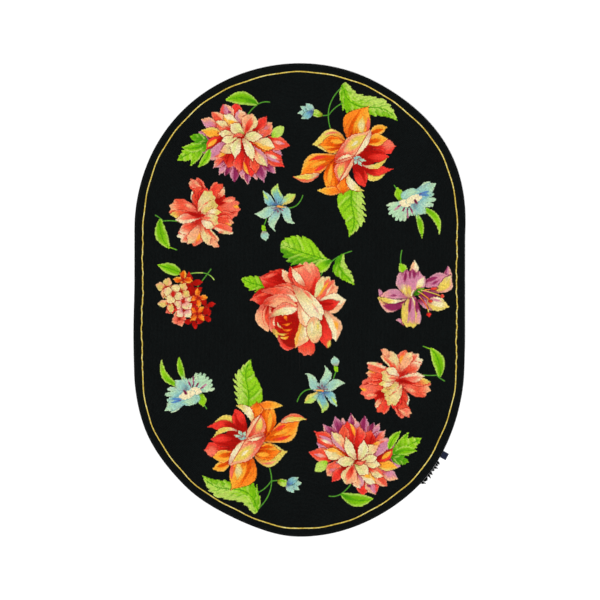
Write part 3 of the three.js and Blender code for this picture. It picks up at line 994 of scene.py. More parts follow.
# Rug wool, hooked or whipped: thick, matt and slightly hairy, so each loop reads as a soft bead.
# Its fibres are rough, with hardly any gloss; one by one they would be too fine to show, so they are
# drawn in clumps of about 0.4 mm.
wool = {"rough": {"To Min": .82, "To Max": 1}, "bump": {"Strength": .5, "Distance": .0004},
        "fibre": {"Scale": 2400, "Detail": 2}, "sheen": .02, "sheenRough": .5,
        "flowerGloss": .02, "heather": {"Scale": 500, "Detail": 2},
        "flowerShade": {"To Min": .86, "To Max": 1.12},
        "groundGloss": .03, "dyeLots": {"Scale": 9, "Detail": 3}, "groundTufts": {"Scale": 330, "Detail": 2},
        "groundShade": {"From Min": .6, "From Max": 1.4, "To Min": .7, "To Max": 1.35},
        "whippingGloss": .04, "whippingTufts": {"Scale": 420, "Detail": 3},
        "dark": "07090a", "light": "101415"}


def woolFinish(tree, shader, place, gloss, tone=None):
    fibre = addNode(tree, "ShaderNodeTexNoise", values=wool["fibre"], links={"Vector": place})
    finish(tree, shader, wool, gloss, tone, fibre.outputs["Fac"], fibre.outputs["Fac"])
    shader.inputs["Sheen Weight"].default_value = wool["sheen"]
    shader.inputs["Sheen Roughness"].default_value = wool["sheenRough"]


# Heathering follows dyed wool fibres gathered in tufts of about 2 mm.
def flowerWool():
    material, tree, shader = newMaterial("dyedFlowerWool")
    place = addNode(tree, "ShaderNodeTexCoord").outputs["Object"]
    heather = addNode(tree, "ShaderNodeTexNoise", values=wool["heather"], links={"Vector": place})
    dyeYarn(tree, shader, heather.outputs["Fac"], wool["flowerShade"])
    woolFinish(tree, shader, place, wool["flowerGloss"])
    return material


# Black dye lots drift over a hand's width, and tufts of about 3 mm catch the light.
def groundWool():
    material, tree, shader = newMaterial("blackGroundWool")
    place = addNode(tree, "ShaderNodeTexCoord").outputs["Object"]
    lots = addNode(tree, "ShaderNodeTexNoise", values=wool["dyeLots"], links={"Vector": place})
    tufts = addNode(tree, "ShaderNodeTexNoise", values=wool["groundTufts"], links={"Vector": place})
    both = addNode(tree, "ShaderNodeMath", {"operation": "ADD"},
                   links={0: lots.outputs["Fac"], 1: tufts.outputs["Fac"]})
    dyeYarn(tree, shader, both.outputs["Value"], wool["groundShade"])
    woolFinish(tree, shader, place, wool["groundGloss"])
    return material


# The same yarn wound over the edge: a worn black that tufts of about 2 mm make uneven.
def whippingWool():
    material, tree, shader = newMaterial("blackWhippingWool")
    place = addNode(tree, "ShaderNodeTexCoord").outputs["Object"]
    tufts = addNode(tree, "ShaderNodeTexNoise", values=wool["whippingTufts"], links={"Vector": place})
    woolFinish(tree, shader, place, wool["whippingGloss"], tufts.outputs["Fac"])
    return material


# Plain-weave rug backing in natural cotton: matt and off-white, its slubs about 40 mm long. Real
# threads lie about 1.2 mm apart; these are 2.4 mm apart, or they would be too fine to show.
cotton = {"dark": "b3a283", "light": "ded3b8", "rough": {"To Min": .8, "To Max": .98},
          "bump": {"Strength": .7, "Distance": .0005}, "gloss": .2,
          "thread": {"Scale": 131, "Distortion": .6, "Detail Scale": 3}, "threadShare": .5,
          "slub": {"Scale": 26, "Detail": 5}}


def backingCotton():
    material, tree, shader = newMaterial("naturalBackingCotton")
    place = addNode(tree, "ShaderNodeTexCoord").outputs["Object"]
    warp, weft = (addNode(tree, "ShaderNodeTexWave", {"bands_direction": way}, cotton["thread"],
                          {"Vector": place}) for way in "XY")
    weave = addNode(tree, "ShaderNodeMath", {"operation": "MULTIPLY"},
                    links={0: warp.outputs["Fac"], 1: weft.outputs["Fac"]}).outputs["Value"]
    slub = addNode(tree, "ShaderNodeTexNoise", values=cotton["slub"], links={"Vector": place})
    both = addNode(tree, "ShaderNodeMath", {"operation": "MULTIPLY_ADD"}, {1: cotton["threadShare"]},
                   {0: weave, 2: slub.outputs["Fac"]})
    finish(tree, shader, cotton, cotton["gloss"], both.outputs["Value"], weave, weave)
    return material


# Upper face of the same backing, painted near black as the shade deep between loops, the only place it is
# seen; its tone varies in spots of 2.5 mm.
canvas = {"dark": "0c0d0d", "light": "191a19", "grain": {"Scale": 400, "Detail": 2}, "roughness": .95,
          "gloss": .05}


def paintedShadeCanvas():
    material, tree, shader = newMaterial("shadedBackingCotton")
    place = addNode(tree, "ShaderNodeTexCoord").outputs["Object"]
    grain = addNode(tree, "ShaderNodeTexNoise", values=canvas["grain"], links={"Vector": place})
    finish(tree, shader, canvas, canvas["gloss"], grain.outputs["Fac"])
    shader.inputs["Roughness"].default_value = canvas["roughness"]
    return material


# Woven polyester satin ribbon: a plain face, and ribs too fine to see one by one, which break its
# gloss up into a soft sheen.
satin = {"dark": "040a1a", "light": "0a1634", "rough": {"To Min": .38, "To Max": .6},
         "bump": {"Strength": .4, "Distance": .0002}, "gloss": .15, "ribs": {"Scale": 9, "Distortion": .4},
         "ribShare": .35, "cloud": {"Scale": 3, "Detail": 3}}


def tabSatin():
    material, tree, shader = newMaterial("navySatinRibbon")
    strip = addNode(tree, "ShaderNodeUVMap", {"uv_map": "ribbonWay"}).outputs["UV"]
    ribs = addNode(tree, "ShaderNodeTexWave", {"bands_direction": "Y"}, satin["ribs"],
                   {"Vector": strip}).outputs["Fac"]
    cloud = addNode(tree, "ShaderNodeTexNoise", values=satin["cloud"],
                    links={"Vector": strip}).outputs["Fac"]
    both = addNode(tree, "ShaderNodeMath", {"operation": "MULTIPLY_ADD"}, {1: satin["ribShare"]},
                   {0: ribs, 2: cloud})
    finish(tree, shader, satin, satin["gloss"], both.outputs["Value"], cloud, ribs)
    return material


# Nodes that repeat one yarn shape at many places, each turned by its place's heading.
def repeatTree():
    tree = bpy.data.node_groups.new("yarnAtPlaces", "GeometryNodeTree")
    sockets = tree.interface
    sockets.new_socket("Geometry", in_out="INPUT", socket_type="NodeSocketGeometry")
    kinds = {"Yarn Shape": "Object", "Seed": "Int", "Yarn": "Material"}
    for name in ("Yarn Shape", "Length", "Width", "Height", "Size Jitter", "Height Jitter", "Turn Jitter",
                 "Seed", "Yarn"):
        kind = kinds.get(name, "Float")
        sockets.new_socket(name, in_out="INPUT", socket_type="NodeSocket" + kind)
    sockets.new_socket("Geometry", in_out="OUTPUT", socket_type="NodeSocketGeometry")
    given = addNode(tree, "NodeGroupInput").outputs

    def chance(offset, jitter, middle):
        seed = addNode(tree, "ShaderNodeMath", {"operation": "ADD"}, {1: offset}, {0: given["Seed"]})
        low = addNode(tree, "ShaderNodeMath", {"operation": "SUBTRACT"}, {0: middle}, {1: given[jitter]})
        high = addNode(tree, "ShaderNodeMath", {"operation": "ADD"}, {0: middle}, {1: given[jitter]})
        return addNode(tree, "FunctionNodeRandomValue", {"data_type": "FLOAT"},
                       links={2: low.outputs[0], 3: high.outputs[0], 8: seed.outputs[0]}).outputs[1]

    size = chance(0, "Size Jitter", 1)
    rise = chance(7, "Height Jitter", 1)
    swing = chance(13, "Turn Jitter", 0)
    heading = addNode(tree, "GeometryNodeInputNamedAttribute", {"data_type": "FLOAT"}, {"Name": "heading"})
    turned = addNode(tree, "ShaderNodeMath", {"operation": "ADD"},
                     links={0: heading.outputs["Attribute"], 1: swing})
    spin = addNode(tree, "ShaderNodeCombineXYZ", links={"Z": turned.outputs[0]})
    sides = {}
    for axis, side, share in (("X", "Length", size), ("Y", "Width", size), ("Z", "Height", rise)):
        sides[axis] = addNode(tree, "ShaderNodeMath", {"operation": "MULTIPLY"},
                              links={0: given[side], 1: share}).outputs[0]
    scale = addNode(tree, "ShaderNodeCombineXYZ", links=sides)
    shape = addNode(tree, "GeometryNodeObjectInfo", links={"Object": given["Yarn Shape"]})
    placed = addNode(tree, "GeometryNodeInstanceOnPoints",
                     links={"Points": given["Geometry"], "Instance": shape.outputs["Geometry"],
                            "Rotation": spin.outputs[0], "Scale": scale.outputs[0]})
    real = addNode(tree, "GeometryNodeRealizeInstances", links={"Geometry": placed.outputs[0]})
    dyed = addNode(tree, "GeometryNodeSetMaterial",
                   links={"Geometry": real.outputs[0], "Material": given["Yarn"]})
    addNode(tree, "NodeGroupOutput", links={0: dyed.outputs[0]})
    return tree


yarnTree = repeatTree()


def repeatYarn(name, places, height, headings, colours, values):
    standing = np.concatenate([places * mm, np.full((len(places), 1), height * mm)], 1)
    thing = newObject(name, standing, [])
    attribute = thing.data.attributes.new("heading", "FLOAT", "POINT")
    attribute.data.foreach_set("value", np.asarray(headings, np.float32))
    if colours is not None:
        dye = thing.data.attributes.new("yarnColor", "FLOAT_COLOR", "POINT")
        linear = np.concatenate([toLinear(colours), np.ones((len(places), 1))], 1)
        dye.data.foreach_set("color", linear.astype(np.float32).ravel())
    nodes = thing.modifiers.new("yarnAtPlaces", "NODES")
    nodes.node_group = yarnTree
    for item in yarnTree.interface.items_tree:
        if item.in_out == "INPUT" and item.name in values:
            nodes[item.identifier] = values[item.name]
    bpy.context.view_layer.update()
    sight = bpy.context.evaluated_depsgraph_get()
    made = bpy.data.meshes.new_from_object(thing.evaluated_get(sight), depsgraph=sight)
    thing.modifiers.clear()
    bare = thing.data
    thing.data = made
    bpy.data.meshes.remove(bare)
    made.name = name
    if "heading" in made.attributes:
        made.attributes.remove(made.attributes["heading"])
    smoothFaces(thing)
    return thing


def helperShape(name, points, faces):
    shape = newObject(name, points, faces)
    shape.hide_render = True
    return shape


# Looped pile: sizes in millimetres, jitters as shares of a size or in radians of turn. lift is how much
# of the pile's height a middling loop fills, flowerMargin is in squares of the chart. Real loops are too
# fine to show, so these are as coarse as the petals allow.
pile = {"foot": 5.15, "top": 8.0, "ridge": .2, "margin": .004, "shadeJitter": .05, "tintJitter": .012}
flowerLoop = {"pitch": 3.72, "spread": .1, "length": 5.6, "width": 5.3, "lift": .965, "sizeJitter": .07,
              "heightJitter": .035, "turnJitter": .22}
stemLoop = {**flowerLoop, "pitch": 3.5, "rowWidth": 5, "length": 5.0, "width": 5.0}
groundLoop = {"pitch": 5.1, "row": 4.9, "spread": .24, "length": 6.1, "width": 5.4, "lift": .955,
              "sizeJitter": .06, "heightJitter": .045, "turnJitter": .16, "shade": "090e0e",
              "shadeJitter": .13, "outerRows": (9.3, 13.8, 18.3, 22.8, 27.3), "innerFrom": 37.2,
              "steadyFrom": 37, "steadyOver": 60, "flowerMargin": .52}
goldLoop = {"pitch": 4.0, "spread": .18, "length": 5.2, "width": 3.4, "lift": .965, "sizeJitter": .06,
            "heightJitter": .035, "turnJitter": .12, "shades": ("cfb04a", "e6cc5c", "f2e596"),
            "mixJitter": .3, "inset": 32.2, "rows": (-.85, .85), "sway": 3}


# One hooked loop: four feet in the backing and a short ridge of yarn on top.
def loopShape():
    low, ridge = .5, pile["ridge"]
    points = [(-low, -low, 0), (low, -low, 0), (low, low, 0), (-low, low, 0), (-ridge, 0, 1), (ridge, 0, 1)]
    return helperShape("oneLoop", points, [(3, 2, 1, 0), (0, 1, 5, 4), (2, 3, 4, 5), (1, 2, 5), (3, 0, 4)])


oneLoop = loopShape()


def joinParts(parts):
    return [np.concatenate(same) for same in zip(*parts)]


def hookLoops(name, places, headings, paint, size, seed, yarn):
    values = {"Yarn Shape": oneLoop, "Length": size["length"] * mm, "Width": size["width"] * mm,
              "Height": (pile["top"] - pile["foot"]) * mm * size["lift"], "Size Jitter": size["sizeJitter"],
              "Height Jitter": size["heightJitter"], "Turn Jitter": size["turnJitter"], "Seed": seed,
              "Yarn": yarn}
    return repeatYarn(name, places, pile["foot"], headings, paint, values)


# The map lies flat as seen from above; the hidden feet shrink to a point, so they cover nothing.
def mapFromAbove(thing):
    mesh = thing.data
    places = meshPoints(mesh)[:, :2]
    corners = cornerVertices(mesh)
    perLoop = len(oneLoop.data.vertices)
    middles = np.add.reduceat(places, np.arange(0, len(places), perLoop), 0) / perLoop
    facing = np.zeros(len(mesh.polygons) * 3)
    mesh.polygons.foreach_get("normal", facing)
    below = np.repeat(facing[2::3] < -.5, faceNumbers(mesh, "loop_total"))
    flat = places[corners]
    flat[below] = middles[corners[below] // perLoop]
    setMap(thing, boxShare(flat, places, pile["margin"]))


# Places in a honeycomb, each a little off its spot.
def hexPlaces(low, high, pitch, seed):
    step = pitch * math.sqrt(3) / 2
    rows = np.arange(math.floor(low[1] / step), math.ceil(high[1] / step) + 1)
    columns = np.arange(math.floor(low[0] / pitch) - 1, math.ceil(high[0] / pitch) + 2)
    x, y = np.meshgrid(columns, rows)
    x = (x + .5 * (y % 2)) * pitch
    places = np.stack([x.ravel(), (y * step).ravel()], 1)
    return places + np.random.default_rng(seed).normal(0, flowerLoop["spread"], places.shape)


def turnPlaces(places, degrees):
    turn = math.radians(degrees)
    x, y = places.T
    return np.stack([x * math.cos(turn) - y * math.sin(turn), x * math.sin(turn) + y * math.cos(turn)], 1)


def chartToRug(flower, places):
    return turnPlaces(places, flower["turn"]) * chartSquare + (flower["x"], flower["y"])


def rugToChart(flower, places):
    return turnPlaces((places - (flower["x"], flower["y"])) / chartSquare, -flower["turn"])


def chartRows(flower):
    return readChart(flower["chart"]) + (floretRows(flower["florets"]) if "florets" in flower else [])


def chartBox(rows):
    xs = [row[end] for row in rows for end in ("x0", "x1")]
    ys = [row[end] for row in rows for end in ("y0", "y1")]
    spare = stroke["clear"]
    return (min(xs) - spare, min(ys) - spare), (max(xs) + spare, max(ys) + spare)


# A stem is hooked along its own bent line, one or more yarns wide.
def stemPlaces(row):
    reach = rowReach(row)
    along = np.linspace(0, 1, 200)
    aside = reach * (row["bow"] * 4 * along * (1 - along) + row["sway"] * np.sin(2 * math.pi * along))
    dx, dy = (row["x1"] - row["x0"]) / reach, (row["y1"] - row["y0"]) / reach
    ahead = reach * along
    line = np.stack([row["x0"] + dx * ahead - dy * aside, row["y0"] + dy * ahead + dx * aside], 1)
    travelled = travelAlong(line)
    count = max(2, int(round(travelled[-1] * chartSquare / stemLoop["pitch"])))
    wanted = (np.arange(count) + .5) / count * travelled[-1]
    middle = pointsAt(wanted, travelled, line)
    slope = np.gradient(line, axis=0)
    heading = np.interp(wanted, travelled, np.unwrap(np.arctan2(slope[:, 1], slope[:, 0])))
    yarnsWide = max(1, int(round(row["girth"] * chartSquare / stemLoop["rowWidth"])))
    offsets = (np.arange(yarnsWide) - (yarnsWide - 1) / 2) * row["girth"] / yarnsWide
    side = np.stack([-np.sin(heading), np.cos(heading)], 1)
    return np.concatenate([middle + side * offset for offset in offsets]), np.tile(heading, yarnsWide)


# The places, headings and colours of a flower's loops, and those of its stems, on the chart.
def draftFlower(number, flower):
    rows = chartRows(flower)
    low, high = chartBox(rows)
    places = hexPlaces(low, high, flowerLoop["pitch"] / chartSquare, seeds["chartPlaces"] + number)
    colour, owner, heading = paintChart(rows, flower["line"], places[:, 0], places[:, 1])
    stems = [order for order, row in enumerate(rows) if row["kind"] == "stem"]
    kept = (owner >= 0) & ~np.isin(owner, stems)
    thin = []
    for order in stems:
        spots, way = stemPlaces(rows[order])
        paint, shown, _ = paintChart(rows, flower["line"], spots[:, 0], spots[:, 1])
        seen = shown == order
        thin.append((spots[seen], way[seen], paint[seen]))
    return [(places[kept], heading[kept], colour[kept])], thin


def hookFlower(number, flower, yarn):
    petals, stems = draftFlower(number, flower)
    dice = np.random.default_rng(seeds["petalShades"] + number)
    seed = seeds["flowerLoops"] + number
    made = []
    for label, group, size in (("Loops", petals, flowerLoop), ("StemLoops", stems, stemLoop)):
        if group:
            spots, way, paint = joinParts(group)
            shade = 1 + dice.normal(0, pile["shadeJitter"], (len(spots), 1))
            shade = shade + dice.normal(0, pile["tintJitter"], (len(spots), 3))
            way = way + math.radians(flower["turn"])
            places = chartToRug(flower, spots)
            made.append(hookLoops(flower["name"] + label, places, way, paint * shade, size, seed, yarn))
    piece = joinPieces(flower["name"], made)
    mapFromAbove(piece)
    return piece


# True where a place on the rug belongs to a flower or is too close to one for a ground loop.
def underFlowers(places):
    taken = np.zeros(len(places), bool)
    margin = groundLoop["flowerMargin"]
    aims = [turn * math.pi / 3 for turn in range(6)]
    shifts = [(0, 0)] + [(margin * math.cos(aim), margin * math.sin(aim)) for aim in aims]
    for flower in flowers:
        rows = chartRows(flower)
        low, high = chartBox(rows)
        spots = rugToChart(flower, places)
        near = np.flatnonzero((spots > np.array(low)).all(1) & (spots < np.array(high)).all(1))
        for right, up in shifts:
            _, owner, _ = paintChart(rows, flower["line"], spots[near, 0] + right, spots[near, 1] + up)
            taken[near[owner >= 0]] = True
    return taken


# Each ground row's inset and sway; rows sway with the gold line, and less the further in they lie.
def groundLines():
    sway = goldLoop["sway"]
    lines = [(inset, sway * inset / goldLoop["inset"]) for inset in groundLoop["outerRows"]]
    inset = groundLoop["innerFrom"]
    while meanReach - inset > 1:
        left = 1 - (inset - groundLoop["steadyFrom"]) / groundLoop["steadyOver"]
        lines.append((inset, sway * max(0, left)))
        inset += groundLoop["row"]
    return lines


def hookGround(yarn):
    dice = np.random.default_rng(seeds["groundPlaces"])
    parts = []
    for number, (inset, sway) in enumerate(groundLines()):
        places, heading, _ = placesOnLine(inset, groundLoop["pitch"], dice.random(), sway)
        parts.append((places, heading, np.full(len(places), number)))
    places, heading, number = joinParts(parts)
    places = places + dice.normal(0, groundLoop["spread"], places.shape)
    free = ~underFlowers(places)
    places, heading, number = places[free], heading[free], number[free]
    third = np.searchsorted(np.cumsum(np.bincount(number)) / len(number), (1 / 3, 2 / 3))
    band = (number > third[0]) * 1 + (number > third[1])
    pieces = []
    for order, name in enumerate(("groundPileOuter", "groundPileMiddle", "groundPileInner")):
        chosen = band == order
        shade = 1 + dice.normal(0, groundLoop["shadeJitter"], (chosen.sum(), 1))
        paint = np.array(hexToRgb(groundLoop["shade"])) * shade
        seed = seeds["groundLoops"] + order
        pieces.append(hookLoops(name, places[chosen], heading[chosen], paint, groundLoop, seed, yarn))
        mapFromAbove(pieces[-1])
    return pieces


def hookGoldLine(yarn):
    dice = np.random.default_rng(seeds["goldPlaces"])
    parts = [placesOnLine(goldLoop["inset"] + offset, goldLoop["pitch"], dice.random(), goldLoop["sway"])
             for offset in goldLoop["rows"]]
    places, heading, station = joinParts(parts)
    places = places + dice.normal(0, goldLoop["spread"], places.shape)
    mix = .5 + .5 * waver(station * 3, 4) + dice.normal(0, goldLoop["mixJitter"], len(station))
    mix = np.clip(mix, 0, 1)[:, None]
    low, middle, high = (np.array(hexToRgb(text)) for text in goldLoop["shades"])
    paint = np.where(mix < .5, low + (middle - low) * mix * 2, middle + (high - middle) * (mix * 2 - 1))
    piece = hookLoops("goldBorderLine", places, heading, paint, goldLoop, seeds["goldLoops"], yarn)
    mapFromAbove(piece)
    return piece


# Backing cloth under the loops, its cut rims rounded off a little.
backing = {"inset": 4.6, "top": 5.3, "rim": .3, "rings": (0, .5, 3, 40, 200, 400, 560), "stations": 240,
           "facingUp": .3, "margin": .01}


def makeBacking():
    count = backing["stations"]
    stations = np.linspace(0, 4, count, endpoint=False)
    insets = [backing["inset"] + inset for inset in backing["rings"]]
    points, faces, rings = [], [], []
    for height, order in ((backing["top"], insets[::-1]), (0, insets)):
        for inset in order:
            rings.append(len(points))
            z = height if inset > insets[0] else abs(height - backing["rim"])
            points.extend([(x * mm, y * mm, z * mm) for x, y in insetLine(stations, inset)])
    for first, second in zip(rings, rings[1:]):
        faces += bandFaces(first, second, count)
    for ring, height, step in ((rings[0], backing["top"], 1), (rings[-1], 0, -1)):
        around = [ring + i for i in range(count)][::step]
        faces += [(len(points), here, after) for here, after in zip(around, around[1:] + around[:1])]
        points.append((0, 0, height * mm))
    cloth = newObject("backingCloth", points, faces)
    # Lower faces keep the natural cotton; upper faces get the canvas painted dark as the shade between
    # loops.
    cloth.data.materials.append(backingCotton())
    cloth.data.materials.append(paintedShadeCanvas())
    upper = np.array([face.normal.z > backing["facingUp"] for face in cloth.data.polygons], np.int32)
    cloth.data.polygons.foreach_set("material_index", upper)
    places = meshPoints(cloth.data)[:, :2]
    share = boxShare(places[cornerVertices(cloth.data)], places, backing["margin"])
    share[:, 0] = (share[:, 0] + np.repeat(upper, faceNumbers(cloth.data, "loop_total"))) / 2
    setMap(cloth, share)
    return cloth


# Whipped edge: turns of yarn wound over a core. The map goes round the roll from its middle, which is
# given as an inset and a height.
whip = {"pitch": 3.25, "yarn": 3.7, "coreStations": 336, "proud": .5, "sideHigh": 4.6, "sideLow": 1.7,
        "height": 6.6, "sink": .9, "endSink": .5, "jitter": .03, "turnJitter": .05, "strips": 24,
        "middle": (3.2, 2.6), "stripEnd": .03, "stripSide": .08}


# The roll across the edge, from its inner foot over the top to its outer foot: inset, height.
def whipSection(grow):
    high = whip["height"] - whip["proud"] + grow
    return [(5.9 + grow, 4.6), (5.0, high - .75), (3.3, high), (1.7, high - .5),
            (.75 - grow, whip["sideHigh"]), (.5 - grow, 3.1), (.8 - grow, whip["sideLow"]),
            (1.9, .35 - grow * .6)]


def makeCore(yarn):
    stations = evenStations(whip["coreStations"])
    count = len(stations)
    section = whipSection(0) + [(4.9, .35), (5.9, 1.6)]
    points, faces = [], []
    for inset, height in section:
        points.extend([(x * mm, y * mm, height * mm) for x, y in insetLine(stations, inset)])
    for row in range(len(section)):
        faces += bandFaces(row * count, (row + 1) % len(section) * count, count)
    core = newObject("whippedEdgeCore", points, faces)
    core.data.materials.append(yarn)
    smoothFaces(core)
    fixNormals(core)
    return core


# One turn of yarn over the roll: along x it is one yarn wide, y points out of the rug.
def whipTurnShape():
    path = np.array(whipSection(whip["proud"]))
    last = len(path) - 1
    points, faces = [], []
    for number, (inset, height) in enumerate(path):
        run = path[min(number + 1, last)] - path[max(number - 1, 0)]
        under = np.array([-run[1], run[0]]) / np.hypot(*run)
        sink = whip["endSink"] if number in (0, last) else whip["sink"]
        for x, depth in ((-.5, sink), (0, 0), (.5, sink)):
            points.append((x, -(inset + under[0] * depth) * mm, (height + under[1] * depth) * mm))
    for row in range(last):
        faces += bandFaces(row * 3, row * 3 + 3, 3)
    faces += [(0, 2, 1), (len(points) - 3, len(points) - 2, len(points) - 1)]
    shape = helperShape("oneWhipTurn", points, faces)
    fixNormals(shape)
    return shape


def makeWhipping(yarn):
    core = makeCore(yarn)
    places, heading, _ = placesOnLine(0, whip["pitch"], 0)
    values = {"Yarn Shape": whipTurnShape(), "Length": whip["yarn"] * mm, "Width": 1.0, "Height": 1.0,
              "Size Jitter": whip["jitter"], "Height Jitter": whip["jitter"],
              "Turn Jitter": whip["turnJitter"], "Seed": seeds["whipping"], "Yarn": yarn}
    # Heading runs along the edge, so half a turn makes the shape's y point out of the rug.
    turns = repeatYarn("whipTurns", places, 0, heading + math.pi, None, values)
    piece = joinPieces("whippedYarnEdge", [core, turns])
    mapInStrips(piece)
    return piece


# Moves each value by a lap where it is over half a lap away from its first one.
def nearFirst(value, first, lap):
    return value - lap * (value - first > lap / 2) + lap * (first - value > lap / 2)


# The long edge is mapped in strips, one above the other, so that its yarn keeps its detail.
def mapInStrips(thing):
    mesh = thing.data
    strips, end, side = whip["strips"], whip["stripEnd"], whip["stripSide"]
    middleInset, middleHeight = whip["middle"]
    x, y, z = meshPoints(mesh).T / mm
    corners = cornerVertices(mesh)
    starts, counts = faceNumbers(mesh, "loop_start"), faceNumbers(mesh, "loop_total")
    station = stationOf(x, y)
    footY, _, _ = spineAt(station)
    inset = edgeReach(station) - np.hypot(x, y - footY)
    travelled = alongEdge(station)
    strip = np.minimum(np.floor(travelled[corners[starts]] * strips), strips - 1)
    strip = np.repeat(strip, counts)
    share = nearFirst(travelled[corners] * strips - strip, 0, strips)
    turn = np.arctan2(z - middleHeight, inset - middleInset)
    around = (turn[corners] + math.pi) / (2 * math.pi)
    around = nearFirst(around, np.repeat(around[starts], counts), 1)
    u = end + (1 - 2 * end) * np.clip(share, -.02, 1.02)
    v = (strip + side + (1 - 2 * side) * np.clip(around, 0, 1)) / strips
    setMap(thing, np.stack([u, v], 1))


# Folded ribbon tab, bare of any mark. Its upper layer ripples a little and thins towards its two sides.
tab = {"bearing": -47.3, "width": 27, "reach": 24, "ribbon": .7, "foldGap": .4, "root": .3, "rounds": 8,
       "straights": 9, "innerRounds": 7, "across": 20, "ripple": .12, "rippleAcross": 7, "rippleOut": .16,
       "upperFrom": .9, "edgeThin": .25}


# Side view of the folded ribbon: its outer line out, round the fold and back, then its inner line.
def ribbonSection():
    middle = tab["ribbon"] + tab["foldGap"] / 2
    inner = tab["foldGap"] / 2
    straight = tab["reach"] - middle

    def run(height, start, end):
        return [(straight * part, height) for part in np.linspace(start, end, tab["straights"])]

    def bend(radius, way, count):
        return [(straight + radius * math.sin(a), middle - way * radius * math.cos(a))
                for a in np.linspace(0, math.pi, count)[1:-1]]

    outside = run(0, 0, 1) + bend(middle, 1, 2 * tab["rounds"] + 1) + run(2 * middle, 1, 0)
    inside = run(middle + inner, 0, 1) + bend(inner, -1, tab["innerRounds"]) + run(middle - inner, 1, 0)
    return outside + inside, len(outside)


# The inner line has fewer points than the outer one, so each outer point finds its nearest inner one.
def capPartners(section, outerCount):
    section = np.array(section)
    inner = list(range(len(section) - 1, outerCount - 1, -1))
    partners = [0]
    for here in section[:outerCount]:
        options = range(partners[-1], len(inner))
        partners.append(min(options, key=lambda i: np.hypot(*(section[inner[i]] - here)) + .001 * i))
    return [inner[number] for number in partners[1:]]


# The cut side of the folded ribbon, closed with faces between its outer and inner lines.
def capFaces(base, section, outerCount):
    pairs = list(zip(range(outerCount), capPartners(section, outerCount)))
    faces = []
    for (a, b), (c, d) in zip(pairs, pairs[1:]):
        ring = list(dict.fromkeys((base + a, base + c, base + d, base + b)))
        if len(ring) > 2:
            faces.append(tuple(ring))
    return faces


def makeTab():
    spot, out = edgeAtBearing(tab["bearing"])
    side = np.array([-out[1], out[0]])
    section, outerCount = ribbonSection()
    count = len(section)
    upperFrom = tab["upperFrom"]
    points, faces, ways = [], [], []
    for share in np.linspace(-.5, .5, tab["across"] + 1):
        thin = 1 - tab["edgeThin"] * abs(2 * share) ** 8
        for number, (reach, height) in enumerate(section):
            wave = math.sin(share * tab["rippleAcross"] + reach * tab["rippleOut"]) * reach / tab["reach"]
            lift = tab["ripple"] * wave if height > upperFrom else 0
            place = spot + out * (tab["root"] + reach) + side * share * tab["width"]
            z = max(0, (height - upperFrom) * thin + upperFrom + min(0, lift))
            points.append((place[0] * mm, place[1] * mm, z * mm))
            way = reach if number < outerCount / 2 else 2 * tab["reach"] - reach
            ways.append((share * tab["width"], way))
    for row in range(tab["across"]):
        faces += bandFaces(row * count, (row + 1) * count, count)
    for row in (0, tab["across"]):
        faces += capFaces(row * count, section, outerCount)
    ribbon = newObject("ribbonTab", points, faces)
    fixNormals(ribbon)
    smoothFaces(ribbon)
    ribbon.data.materials.append(tabSatin())
    setMap(ribbon, np.array(ways)[cornerVertices(ribbon.data)], "ribbonWay")
    mapByFace(ribbon)
    return ribbon


# Loose ends of the whipping yarn: bearings and leans in degrees, sizes in millimetres.
looseYarn = {"rootFrom": -49.3, "rootTo": -56.6, "rootWidth": 3.2, "rootSteps": 30, "seamGap": .3,
             "thick": 3.6, "tipThick": 3.4, "turnEvery": 8, "steps": 22, "sides": 5, "plyThick": .27,
             "plyOff": .23, "sideYarns": (-2, -1, 1, 2), "spread": 1.9, "hairs": 7, "tipHairs": 4,
             "hairThick": .16, "hairSteps": 4, "hairLength": (1.4, 2.6), "hairFoot": .45,
             "hairRise": (.2, .5)}
looseEnds = [
    {"along": .04, "reach": 12, "lean": -38, "curl": 34},
    {"along": .15, "reach": 9, "lean": 22, "curl": -30},
    {"along": .25, "reach": 14, "lean": -12, "curl": 46},
    {"along": .37, "reach": 8, "lean": 36, "curl": -20},
    {"along": .48, "reach": 12, "lean": -30, "curl": 25},
    {"along": .60, "reach": 15, "lean": 8, "curl": -48},
    {"along": .72, "reach": 10, "lean": -24, "curl": -22},
    {"along": .83, "reach": 13, "lean": 30, "curl": 28},
    {"along": .95, "reach": 15, "lean": 47, "curl": -26},
]


def tube(line, radii, sides, points, faces):
    line = np.asarray(line, float)
    travel = np.gradient(line, axis=0)
    travel /= np.linalg.norm(travel, axis=1)[:, None]
    side = np.cross(travel, (0, 0, 1))
    side /= np.linalg.norm(side, axis=1)[:, None]
    up = np.cross(side, travel)
    start = len(points)
    last = start + (len(line) - 1) * sides
    for i, place in enumerate(line):
        for turn in (2 * math.pi * k / sides for k in range(sides)):
            spot = place + radii[i] * (side[i] * math.cos(turn) + up[i] * math.sin(turn))
            points.append(tuple(spot * mm))
    for ring in range(start, last, sides):
        faces += bandFaces(ring, ring + sides, sides)
    faces.append(tuple(range(start, start + sides)))
    faces.append(tuple(range(last + sides - 1, last - 1, -1)))


# The middle of the root strand at a share of its length, and the way out of the rug there.
def rootSpot(share):
    start, end = looseYarn["rootFrom"], looseYarn["rootTo"]
    spot, out = edgeAtBearing(start + (end - start) * share)
    return spot + out * (looseYarn["seamGap"] + looseYarn["rootWidth"] / 2), out


def looseLine(row):
    spot, out = rootSpot(row["along"])
    heading = math.atan2(out[1], out[0]) + math.radians(row["lean"])
    line = [spot]
    steps = looseYarn["steps"]
    for step in range(1, steps + 1):
        aim = heading + math.radians(row["curl"]) * step / steps
        line.append(line[-1] + np.array([math.cos(aim), math.sin(aim)]) * row["reach"] / steps)
    return np.array(line)


